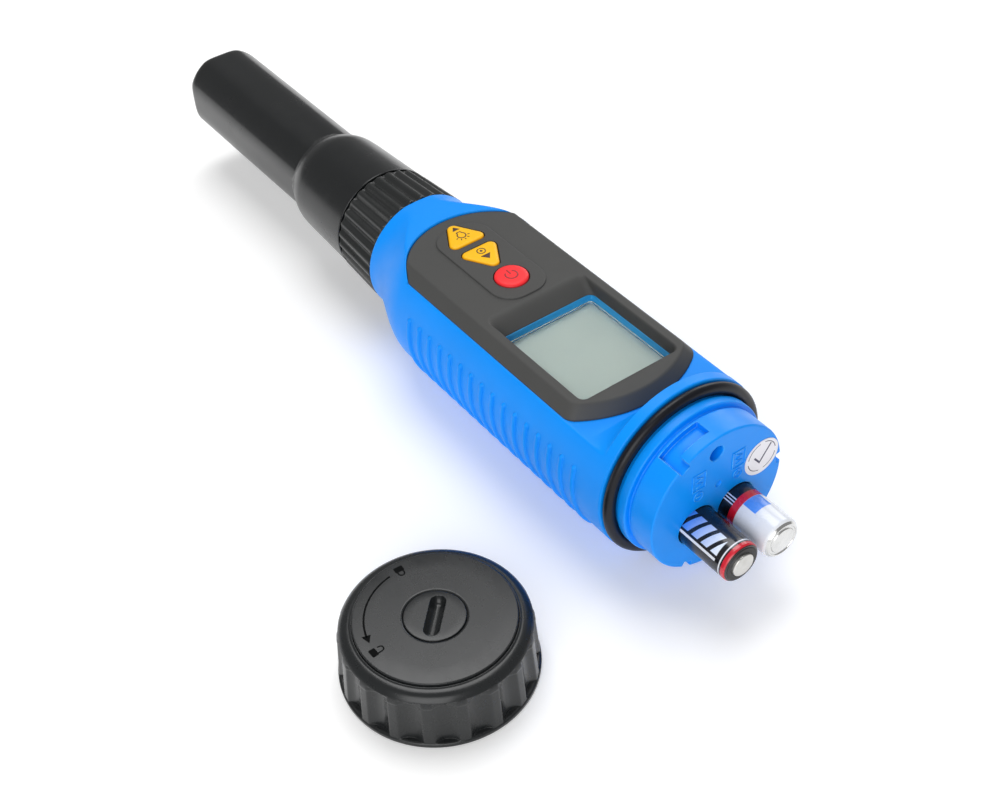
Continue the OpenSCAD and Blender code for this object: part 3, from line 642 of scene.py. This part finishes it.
def key_outline(i, grow=0.0):
    if i == 2:
        return arc(KEY_X[2], 0, 4.5 + grow, 0, 360, 64)[:-1]
    apex, base, half, r0 = 5.4, 4.1, 5.2, 1.7
    lean = math.degrees(math.atan((half - r0) / (apex + base - 2 * r0)))
    r = r0 + grow
    pts = arc(apex - r0, 0, r, -90 + lean, 90 - lean, 12)
    pts += arc(-base + r0, half - r0, r, 90 - lean, 180, 10)
    pts += arc(-base + r0, -half + r0, r, 180, 270 + lean, 10)
    dense = []
    for k, p in enumerate(pts):
        q = pts[(k + 1) % len(pts)]
        d = math.dist(p, q)
        m = max(1, int(d / 1.2))
        dense += [(p[0] + (q[0] - p[0]) * s / m, p[1] + (q[1] - p[1]) * s / m) for s in range(m)]
    if i == 0:
        dense = [(-x, y) for x, y in dense][::-1]
    return [(x + KEY_X[i], y) for x, y in dense]


def decal(outline, z0, mat):
    """Print on a key's top, 0.05 mm thick."""
    return stack("m", outline, [(0, z0 - 0.2), (0, z0 + 0.05 * 0.6), (0.03, z0 + 0.05)], mat,
                 weighted=False)


def joined(name, objs):
    """One object from several."""
    bpy.ops.object.select_all(action="DESELECT")
    for o in objs:
        o.select_set(True)
    bpy.context.view_layer.objects.active = objs[0]
    bpy.ops.object.join()
    objs[0].name = name
    return objs[0]


def stroke(points, width):
    """Outline of a line with a width, as one counter-clockwise loop."""
    p = np.asarray(points, float)
    seg = np.diff(p, axis=0)
    seg /= np.linalg.norm(seg, axis=1, keepdims=True)
    t = np.concatenate([seg[:1], seg[:-1] + seg[1:], seg[-1:]])
    t /= np.linalg.norm(t, axis=1, keepdims=True)
    wide = np.concatenate([[1.0], 1 / np.maximum((t[1:-1] * seg[1:]).sum(1), 0.5), [1.0]])[:, None]
    n = np.stack([-t[:, 1], t[:, 0]], 1) * wide * width / 2
    loop = np.concatenate([p - n, (p + n)[::-1]])
    area = 0.5 * np.sum(loop[:, 0] * np.roll(loop[:, 1], -1) - np.roll(loop[:, 0], -1) * loop[:, 1])
    return loop if area > 0 else loop[::-1]


def turned(points, deg, cx, cy):
    c, s = math.cos(math.radians(deg)), math.sin(math.radians(deg))
    return [(cx + x * c - y * s, cy + x * s + y * c) for x, y in points]


def build_keys():
    z = AXIS
    keys = (("key_light", key_amber, "light_key", "button_light"),
            ("key_mode", key_amber, "mode_key", "button_mode"),
            ("key_power", key_red, "power_key", "button_power"))
    for i, (name, mat, body, node) in enumerate(keys):
        top = z + (17.6 if i == 2 else 17.3)
        out = key_outline(i)
        if i == 2:
            levels = [(0.0, z + 13.4), (0.0, top - 1.0), (0.03, top - 0.7), (0.16, top - 0.42),
                      (0.4, top - 0.2), (0.8, top - 0.08), (1.6, top - 0.02), (3.0, top)]
        else:
            levels = [(0.0, z + 13.4), (0.0, top - 0.75), (0.04, top - 0.5), (0.16, top - 0.26),
                      (0.36, top - 0.1), (0.7, top - 0.03), (1.1, top)]
        key = stack(name, out, levels, mat, sharp=60)
        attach(key, body)
        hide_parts(node)
        cx = KEY_X[i]
        ink = red_ink if i == 2 else key_ink
        if i == 0:
            # small arrow at the point, lamp with rays below it
            marks = [decal([(cx - 4.1, 0.1), (cx - 2.5, -1.0), (cx - 2.5, 1.2)], top, ink)]
            marks.append(decal(stroke(arc(cx + 0.1, 0.0, 1.15, -145, 145, 22), 0.3), top, ink))
            socket = [(cx - 0.85, -0.7), (cx - 1.5, -0.55), (cx - 1.5, 0.55), (cx - 0.85, 0.7)]
            marks.append(decal(stroke(socket, 0.26), top, ink))
            for a in (-70, -35, 0, 35, 70):
                c, d = math.cos(math.radians(a)), math.sin(math.radians(a))
                ray = [(cx + 0.1 + k * c, k * d) for k in (1.55, 2.2)]
                marks.append(decal(stroke(ray, 0.26), top, ink))
        elif i == 1:
            # larger arrow, and a ring with a dot for the calibration point
            marks = [decal([(cx + 2.3, 0.0), (cx + 0.3, 1.5), (cx + 0.3, -1.5)], top, ink)]
            marks.append(decal(stroke(arc(cx - 1.6, 0, 1.1, -175, 175, 26), 0.28), top, ink))
            marks.append(decal(arc(cx - 1.6, 0, 0.38, 0, 345, 14), top, ink))
        else:
            marks = [decal(stroke(arc(cx, 0, 1.6, -140, 140, 30), 0.34), top, ink)]
            marks.append(decal(stroke([(cx - 2.1, 0), (cx - 0.3, 0)], 0.34), top, ink))
        m = joined(name + "_mark", marks)
        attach(m, body)


housing = build_housing()
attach(housing, "meter")
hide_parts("housing")
panel = build_panel()
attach(panel, "meter")
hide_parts("front_panel")
build_keys()


# ---------- collar ----------
def build_collar():
    flutes = 30
    th = angles(flutes * 16)
    ridge = (0.5 + 0.5 * np.cos(th * flutes)) ** 0.8
    xs = np.concatenate([COLLAR_X0 + np.array([0, 0.02, 0.1, 0.25, 0.5, 1.0]), np.linspace(-71, -57, 20),
                         [-56.4, -55.9, -55.6, -55.45, -55.36, COLLAR_X1]])
    rings = [on_meter(COLLAR_X0, 12.3, th), on_meter(COLLAR_X0, 15.2, th)]
    for x in xs:
        r = 16.4 + 1.05 * (x - COLLAR_X0) / 17.25
        depth = 0.95 * np.clip((x - COLLAR_X0) / 0.5 + 0.35, 0, 1)
        drop = 0.35 * edge_round((x - COLLAR_X0) / 0.4) + 0.3 * edge_round((COLLAR_X1 - x) / 0.35)
        rings.append(on_meter(x, r - drop - depth * (1 - ridge), th))
    rings.append(on_meter(COLLAR_X1, 14.0, th))
    rings.append(on_meter(-66.5, 14.0, th))
    rings.append(on_meter(-66.5, 12.3, th))
    obj = loops("collar_grip", rings, collar_black, closed=True)
    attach(obj, "collar")
    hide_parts("collar_ring")


def build_sleeve():
    th = angles(256)
    c, s = np.abs(np.cos(th)), np.abs(np.sin(th))
    rings = []
    base = smin(np.full_like(th, 13.0), 12.1 / np.maximum(c, s), 0.9)
    # closed tip, tube, shoulder, barrel, mouth, bore
    for x, k in ((-169.2, 0.0), (-169.2, 0.5), (-169.17, 0.8), (-169.05, 0.9), (-168.8, 0.945),
                 (-168.4, 0.975), (-167.8, 0.99), (-167, 1.0)):
        rings.append(on_meter(x, base * k, th) if k else on_meter(x, 0.0, th[:1]))
    for x in np.linspace(-166, -105.4, 24):
        rings.append(on_meter(x, base, th))
    shoulder = rounded([(-105.2, 12.5), (-104.1, 12.75, 0.5), (-101.6, 14.0, 1.6), (-98.4, 15.05, 2.2),
                        (-94.0, 15.35)], 8)
    for x, r in shoulder:
        rings.append(on_meter(x, np.maximum(base, r), th))
    for x, r in rounded([(-94, 15.35), (-73.2, 16.2, 0.35), (-73.2, 12.2, 0.3), (-97.5, 12.2, 0.2),
                         (-97.5, 10.2, 0.2), (-165.5, 10.2, 0.3), (-165.5, 0.0)], 5)[1:]:
        rings.append(on_meter(x, r, th) if r > 0 else on_meter(x, 0.0, th[:1]))
    obj = loops("sleeve_shell", rings, sleeve_black, sharp=45)
    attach(obj, "sleeve")
    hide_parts("protective_cap")


build_collar()
build_sleeve()


# ---------- battery end ----------
def build_ring():
    prof = [(53.75 + 1.35 * math.cos(a), 22.0 + 1.6 * math.sin(a)) for a in angles(28)]
    obj = lathe("plug_o_ring", prof, rubber, n=200, closed=True)
    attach(obj, "meter")
    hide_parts("rear_o_ring")


def wedge(name, a0, a1, x0, x1, r0, r1):
    n = max(4, int(abs(a1 - a0) / 1.5))
    rings = []
    for k in range(n + 1):
        a = math.radians(a0 + (a1 - a0) * k / n)
        corners = ((x0, r0), (x0, r1), (x1, r1), (x1, r0))
        rings.append([(x, r * math.cos(a), AXIS + r * math.sin(a)) for x, r in corners])
    return loops(name, rings, [], weighted=False)


def build_plug():
    prof = rounded([(51.9, 0.0), (51.9, 20.3), (55.2, 20.3, 0.1), (55.2, 20.9, 0.35), (57.8, 20.9, 0.45),
                    (57.8, 19.35, 0.25), (58.55, 19.35, 0.2), (58.55, 19.8, 0.2), (PLUG_FACE, 19.8, 0.55),
                    (PLUG_FACE, 0.0)], 5)
    obj = lathe("battery_plug_body", prof, plug_blue, n=288, weighted=False)
    boss = [(19.4, 0), (19.4, 6.6), (53, 6.6), (53, 0)]
    bosses = [lathe(f"boss_{s}", boss, plug_blue, n=72, y=CELL_Y * s, h=CELL_H, weighted=False)
              for s in (-1, 1)]
    bosses[1].location.x = 0.00001  # so that the two end faces don't lie in one plane
    combine(obj, bosses, "UNION")
    bore = [(20.6, 0), (20.6, 5.35), (65.75, 5.35), (66.2, 5.75), (67, 5.75), (67, 0)]
    cuts = [lathe(f"bore_{s}", bore, plug_blue, n=96, y=CELL_Y * s, h=CELL_H, weighted=False)
            for s in (-1, 1)]
    for a in SLOT_ENTRIES:
        cuts.append(wedge("entry", a - 4.5, a + 4.5, 59.1, 68, 18.2, 22))
        cuts.append(wedge("channel", a - 30.5, a, 59.1, 63.2, 18.2, 22))
    cuts.append(lathe("well", [(54, 0), (54, 2.0), (65.8, 2.0), (66.1, 2.25), (67, 2.25), (67, 0)],
                      plug_blue, n=48, y=-1.1, h=14.9, weighted=False))
    cuts.append(lathe("gate", [(65.6, 0), (65.6, 0.9), (66.5, 1.1), (66.5, 0)], plug_blue, n=32, y=0,
                      h=4.7, weighted=False))
    combine(obj, cuts)
    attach(obj, "meter")
    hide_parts("battery_plug", "bayonet_wall", "cell_tubes")


def raised(points, width, x, height, mat):
    """A line raised from a face of the plug."""
    levels = [(0, x - 0.2), (0, x + 0.6 * height), (0.06, x + height)]
    return stack("m", stroke(points, width), levels, mat, face="end", weighted=False)


def build_face_marks():
    """Battery outlines with their signs beside the bores, and the sticker's tick."""
    marks = []
    for y, plus in ((5.8, True), (-6.1, False)):
        lines = [(arc(y, 4.45, 1.35, 0, 354, 36), 0.22), ([(y - 0.75, 4.45), (y + 0.75, 4.45)], 0.28)]
        if plus:
            lines.append(([(y, 3.7), (y, 5.2)], 0.28))
        shell = [(y - 0.8, 6.7), (y - 1.9, 6.7), (y - 1.9, 11.6), (y + 1.9, 11.6), (y + 1.9, 6.7),
                 (y - 0.7, 6.7)]
        zigzag = [(y - 0.9, 7.6), (y + 0.9, 8.4), (y - 0.9, 9.2), (y + 0.9, 10.0), (y - 0.9, 10.8)]
        lines += [(shell, 0.24), (zigzag, 0.22)]
        marks += [raised(points, width, PLUG_FACE, 0.24, plug_blue) for points, width in lines]
    m = joined("polarity_marks", marks)
    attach(m, "meter")
    lines = [([(10.9, 5.9), (12.6, 3.7), (15.9, 8.2)], 0.5)]
    lines += [(arc(13.2, 5.4, 4.2, a, a + 70, 16), 0.22) for a in (10, 100, 190, 280)]
    m = joined("sticker_tick", [raised(p, width, STICKER_FACE, 0.04, sticker_ink) for p, width in lines])
    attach(m, "meter")


build_ring()
build_plug()
build_face_marks()


# ---------- cells ----------
def cell_label(name, positive):
    """Printed sleeve, drawn by position along the cell and round it."""
    n = Nodes(name)
    b = n.bsdf
    x, y, z = n.axes()
    cy = (-CELL_Y if positive else CELL_Y) * 0.001
    dy = n.math("SUBTRACT", y, cy)
    dz = n.math("SUBTRACT", z, (AXIS + CELL_H) * 0.001)
    deg = n.math("MULTIPLY", n.math("ARCTAN2", dz, dy), 57.29578)
    white, black, red, blue = srgb(232, 234, 238), srgb(14, 14, 18), srgb(206, 24, 44), srgb(70, 140, 236)
    col = black
    if positive:
        grad = n.span(x, 0.0665, 0.077)
        bluewhite = n.mix(grad, blue, srgb(232, 240, 250))
        # a broken band of slanted generic bars
        slant = n.math("ADD", n.math("MULTIPLY", x, 1000), n.math("MULTIPLY", deg, 0.045))
        bar = n.math("PINGPONG", slant, 1.6)
        bars = n.math("LESS_THAN", bar, 1.05)
        zone = n.math("MULTIPLY", n.band(deg, 98, 150, 0.6), n.band(x, 0.052, 0.0775))
        col = n.mix(n.math("MULTIPLY", bars, zone), col, bluewhite)
        col = n.mix(n.math("MULTIPLY", n.band(deg, 158, 166, 0.5), n.band(x, 0.05, 0.0775)), col, white)
        col = n.mix(n.band(x, 0.0788, 0.07915), col, white)
        col = n.mix(n.band(x, 0.0796, 0.0808), col, red)
    else:
        lines = n.math("LESS_THAN", n.math("PINGPONG", deg, 4.0), 1.6)
        col = n.mix(n.math("MULTIPLY", lines, n.band(deg, 118, 142, 0.5)), col, srgb(200, 214, 246))
        col = n.mix(n.band(x, 0.0688, 0.0708), col, red)
        col = n.mix(n.band(x, 0.0708, 0.090), col, srgb(226, 229, 234))
        col = n.mix(n.math("MULTIPLY", n.band(x, 0.0708, 0.0748), n.band(deg, 60, 118, 0.6)), col, blue)
    rub = n.span(n.noise(700, 5, 0.7), 0.62, 0.72, 0.0, 0.35)
    n.put(b.inputs["Base Color"], n.mix(rub, col, srgb(120, 120, 126)))
    n.put(b.inputs["Roughness"], n.span(n.noise(260, 4), 0.3, 0.7, 0.2, 0.34))
    b.inputs["Coat Weight"].default_value = 0.3
    n.put(b.inputs["Normal"], n.bump(n.noise(900, 3), 0.08, 0.00002))
    return n.mat


label_dark, label_light = cell_label("cell_black_label", True), cell_label("cell_silver_label", False)


def build_cells():
    h = CELL_H
    # left cell, nub outwards
    y = -CELL_Y
    can = lathe("left_can", rounded([(37.3, 0), (37.3, 4.4, 0.5), (37.8, 5.1, 0.5), (80.3, 5.1, 0.3),
                                     (80.95, 4.75, 0.35), (80.9, 3.3, 0.1), (81.05, 3.05, 0.15),
                                     (81.8, 3.0, 0.25), (81.8, 0)], 5), nub_steel, n=96, y=y, h=h)
    lab = lathe("left_label", rounded([(37.9, 5.1), (37.9, 5.25, 0.05), (80.45, 5.25, 0.25),
                                       (81.0, 4.9, 0.2), (81.02, 4.5)], 4), label_dark, n=96, y=y, h=h,
                caps=(False, False))
    seal = lathe("left_seal", rounded([(80.98, 4.6), (81.2, 4.5, 0.08), (81.2, 3.15, 0.08),
                                       (80.98, 3.05)], 3), insulator, n=96, y=y, h=h, caps=(False, False))
    for o, node, slot in ((can, "left_cell_can", "cell_steel"),
                          (lab, "left_cell_label", "cell_black_label"),
                          (seal, "left_cell_seal", "cell_insulator")):
        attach(o, "left_cell")
        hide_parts(node)
    # right cell, flat end outwards
    y = CELL_Y
    can = lathe("right_can", rounded([(37.3, 0), (37.3, 2.9, 0.3), (38.2, 3.0, 0.2), (38.3, 4.9, 0.4),
                                      (38.8, 5.1, 0.3), (80.9, 5.1, 0.5), (81.75, 4.5, 0.45),
                                      (81.75, 4.1, 0.15), (81.45, 3.95, 0.1), (81.45, 3.45, 0.1),
                                      (81.8, 3.3, 0.15), (81.8, 0)], 5), cell_steel, n=96, y=y, h=h)
    lab = lathe("right_label", rounded([(38.8, 5.1), (38.8, 5.25, 0.05), (80.6, 5.25, 0.3),
                                        (81.1, 4.95, 0.15), (81.15, 4.9)], 4), label_light, n=96, y=y,
                h=h, caps=(False, False))
    for o, node, slot in ((can, "right_cell_can", "cell_steel"),
                          (lab, "right_cell_label", "cell_silver_label")):
        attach(o, "right_cell")
        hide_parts(node)


build_cells()


# ---------- battery cap ----------
def build_battery_cap():
    cx, cy = CAP
    th = -angles(CAP_FLUTES * 28)
    seg = 2 * math.pi / CAP_FLUTES
    phi = np.mod(-th, seg) - seg / 2  # flute centres half a step round
    across = np.abs(phi) * 22.9 / 2.9
    scallop = np.clip(1 - across**2, 0, 1)

    def ring(r, z):
        r = np.broadcast_to(r, th.shape)
        return np.stack([cx + r * np.cos(th), cy + r * np.sin(th), np.full_like(th, z)], 1)

    prof = rounded([(21.2, 0.0, 0.1), (23.25, 0.0, 0.3), (23.25, 0.95, 0.25), (23.02, 1.15, 0.1)], 4)
    rings = [ring(r, z) for r, z in [(21.0, 0.0)] + prof[1:]]
    heights = np.concatenate([[1.22, 1.26, 1.32, 1.45], np.linspace(1.8, 10.6, 10),
                              np.linspace(10.8, 12.4, 10)])
    wall = [(23.02 - 0.07 * (z - 1.2), z) for z in heights]
    shoulder = np.radians(np.linspace(2, 84, 26))
    wall += [(19.1 + 3.2 * math.cos(a), 12.45 + 3.2 * math.sin(a)) for a in shoulder]
    for r, z in wall:
        depth = 1.2 * min(1.0, max(0.0, (z - 1.2) / 0.12))
        arch = np.sqrt(np.clip((13.9 - z) / 1.3, 0, 1))
        cut = smin(scallop, np.full_like(th, arch), 0.12) * (arch > 0) * min(1, 2 * arch)
        rings.append(ring(r - depth * cut, z))
    top = rounded([(19.3, 15.62), (18.95, 15.85, 0.2), (18.7, 15.85, 0.12), (18.7, 14.58), (4.2, 14.58),
                   (4.2, 14.0), (1.58, 14.0), (1.58, 13.3), (20.0, 13.3, 0.2), (20.0, 3.2), (21.2, 3.0),
                   (21.2, 0.25)], 4)
    rings += [ring(r, z) for r, z in top]
    obj = loops("battery_cap_shell", rings, cap_black, closed=True, sharp=42)
    lugs = []
    for i in range(3):
        a0 = 90 + i * 120 - 3.5
        rr = []
        for k in range(7):
            a = math.radians(a0 + 7 * k / 6)
            corners = ((18.65, 3.9), (20.3, 3.9), (20.3, 7.3), (18.65, 7.3))
            rr.append([(cx + r * math.cos(a), cy + r * math.sin(a), z) for r, z in corners])
        lugs.append(loops(f"lug_{i}", rr, cap_black))
    obj = joined("battery_cap_shell", [obj, *lugs])
    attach(obj, "battery_cap")
    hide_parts("cap_shell")
    disc = upright("cap_disc", rounded([(7.25, 14.6), (18.6, 14.6, 0.1), (18.6, 16.62, 0.3),
                                        (15.5, 16.72, 2.0), (7.6, 16.72, 0.3), (7.25, 16.5, 0.2)],
                                       5), cap_black, n=256, cx=cx, cy=cy, closed=True)
    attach(disc, "battery_cap")
    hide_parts("cap_top_disc")
    coin = upright("cap_coin_piece", rounded([(0, 14.6), (7.1, 14.6, 0.1), (7.1, 16.74, 0.22),
                                              (5.5, 16.8, 0.5), (0, 16.8)], 5), cap_black, n=128, cx=cx,
                   cy=cy, weighted=False)
    slot = turned(round_rect(-5.75, 5.75, -1.8, 1.8, 1.75, 10), -45, cx, cy)
    cutter = stack("coin_cut", slot, [(1.5, 14.9), (1.0, 15.1), (0.6, 15.5), (0.3, 16.0), (0.08, 16.5),
                                   (-0.02, 16.75), (-0.3, 17.2)], [], weighted=False)
    combine(coin, [cutter])
    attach(coin, "battery_cap")
    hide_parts("cap_coin_disc")


def padlock(cx, cy, deg, is_open):
    """Outline parts of a small padlock whose shackle points along deg."""
    body = turned(round_rect(-1.1, 1.1, -1.3, 0.3, 0.25, 3), deg - 90, cx, cy)
    lift = 0.5 if is_open else 0.0
    bow = [(-0.7, 0.9 if is_open else 0.2), (-0.7, 0.7 + lift)]
    bow += arc(0, 0.8 + lift, 0.7, 170, 10, 10) + [(0.7, 0.7 + lift), (0.7, 0.2)]
    return [body, stroke(turned(bow, deg - 90, cx, cy), 0.36)]


def build_cap_marks():
    cx, cy = CAP
    r = 15.8
    parts = []
    for deg, is_open in ((176, False), (271, True)):
        c, d = math.cos(math.radians(deg)), math.sin(math.radians(deg))
        parts += padlock(cx + r * c, cy + r * d, deg + 180, is_open)
    parts.append(stroke(arc(cx, cy, r, 186, 255, 40), 0.45))
    tip = arc(cx, cy, r, 261, 261.5, 1)[0]
    wing = [arc(cx, cy, r + side, 253, 254, 1)[0] for side in (-1.05, 1.05)]
    head = [tip, *wing]
    area = sum(head[i][0] * head[(i + 1) % 3][1] - head[(i + 1) % 3][0] * head[i][1] for i in range(3))
    parts.append(head if area > 0 else head[::-1])
    levels = [(0, 16.5), (0, 16.71), (0.05, 16.76)]
    marks = [stack("m", q, levels, mark_black, weighted=False) for q in parts]
    m = joined("cap_marks", marks)
    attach(m, "battery_cap")


def build_springs():
    """Small conical springs under the bridge, where the cells press."""
    lo, hi = (v * 1000 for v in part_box("contact_springs"))
    coils = []
    for x, y in ((lo.x + 2.9, lo.y + 2.9), (hi.x - 2.9, hi.y - 2.9)):
        t = np.linspace(0, 1, 150)
        r = 1.5 + 1.1 * t
        a = 2 * math.pi * 3.4 * t
        z = lo.z + 0.3 + (hi.z - lo.z - 0.5) * t
        coils.append(tube("m", np.stack([x + r * np.cos(a), y + r * np.sin(a), z], 1), 0.28, spring_steel))
    m = joined("helical_springs", coils)
    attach(m, "contact_unit")
    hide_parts("contact_springs")


build_battery_cap()
build_cap_marks()
build_springs()

# ---------- finishes of the CAD nodes that stay as they are ----------
FINISH = {
    "display_frame": (frame_blue, "frame_blue"), "window_lens": (lens_clear, "lens_clear"),
    "lcd_glass": (lcd_mat, "lcd"),
    "backlight_plate": (light_guide, "light_guide"), "circuit_board": (board_green, "board_green"),
    "button_mat": (mat_grey, "key_mat"), "board_screws": (screw_steel, "screw_steel"),
    "neck_connector": (probe_black, "probe_black"), "plug_screw": (screw_steel, "screw_steel"),
    "inner_contacts": (contact_gold, "contact_gold"), "round_sticker": (sticker_white, "sticker_white"),
    "right_cell_seal": (insulator, "cell_insulator"), "electrode_base": (probe_black, "probe_black"),
    "electrode_seals": (rubber, "seal_rubber"), "connector_pins": (contact_gold, "contact_gold"),
    "probe_stem": (probe_black, "probe_black"), "sensor_guard": (probe_black, "probe_black"),
    "glass_bulb": (bulb_glass, "bulb_glass"), "junction_ring": (ceramic, "junction_ceramic"),
    "temperature_pin": (screw_steel, "screw_steel"), "collar_washer": (washer_white, "washer_white"),
    "storage_sponge": (sponge, "sponge"), "cap_grip_ring": (rubber, "seal_rubber"),
    "contact_carrier": (probe_black, "probe_black"), "contact_bridge": (contact_gold, "contact_gold"),
    "carrier_rivet": (screw_steel, "screw_steel"),
}
for node, (material, name) in FINISH.items():
    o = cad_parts[node]
    o.data.materials.clear()
    o.data.materials.append(material)


# ---------- floor, light, camera ----------
def build_stage():
    me = bpy.data.meshes.new("floor")
    s = 6.0
    me.from_pydata([(-s, -s, -0.0002), (s, -s, -0.0002), (s, s, -0.0002), (-s, s, -0.0002)], [],
                   [(0, 1, 2, 3)])
    floor = bpy.data.objects.new("floor", me)
    bpy.context.scene.collection.objects.link(floor)
    n = Nodes("floor_paper")
    n.put(n.bsdf.inputs["Base Color"], n.mix(n.span(n.noise(3, 2), 0.3, 0.7), (0.93, 0.93, 0.93, 1),
                                             (0.95, 0.95, 0.95, 1)))
    n.bsdf.inputs["Roughness"].default_value = 0.9
    n.bsdf.inputs["Specular IOR Level"].default_value = 0.1
    n.bsdf.inputs["Emission Color"].default_value = (1, 1, 1, 1)
    n.bsdf.inputs["Emission Strength"].default_value = 0.16
    me.materials.append(n.mat)


build_stage()
scene = bpy.context.scene
scene.view_settings.view_transform = "Standard"
world = bpy.data.worlds.new("studio")
scene.world = world
world.use_nodes = True
world.node_tree.nodes["Background"].inputs["Color"].default_value = (1, 1, 1, 1)
world.node_tree.nodes["Background"].inputs["Strength"].default_value = 0.32


def softbox(name, where, target, size, power):
    light = bpy.data.lights.new(name, "AREA")
    light.shape = "RECTANGLE"
    light.size, light.size_y = size
    light.energy = power
    obj = bpy.data.objects.new(name, light)
    bpy.context.scene.collection.objects.link(obj)
    obj.location = where
    obj.rotation_mode = "QUATERNION"
    obj.rotation_quaternion = (Vector(target) - Vector(where)).to_track_quat("-Z", "Y")
    return obj


softbox("overhead", (-0.26, 0.12, 0.92), (0.02, -0.02, 0.02), (0.6, 0.6), 5.0)
softbox("back_rim", (-0.45, 0.75, 0.42), (-0.02, 0, 0.02), (0.5, 0.5), 2.2)
softbox("front_fill", (0.55, -0.6, 0.45), (0, 0, 0.02), (0.7, 0.7), 4.6)

cam = bpy.data.cameras.new("camera")
cam.sensor_width = 36
cam.lens = 54.93
cam.clip_start, cam.clip_end = 0.01, 20
camera = bpy.data.objects.new("camera", cam)
scene.collection.objects.link(camera)
az, el, roll = (math.radians(v) for v in (56.164, 42.633, -3.493))
back = Vector((math.sin(az) * math.cos(el), -math.cos(az) * math.cos(el), math.sin(el)))
right0 = Vector((math.cos(az), math.sin(az), 0))
up0 = back.cross(right0)
right = right0 * math.cos(roll) + up0 * math.sin(roll)
up = up0 * math.cos(roll) - right0 * math.sin(roll)
m = Matrix((right, up, back)).transposed().to_4x4()
m.translation = Vector((0.23873, -0.17409, 0.2797))
camera.matrix_world = m
scene.camera = camera
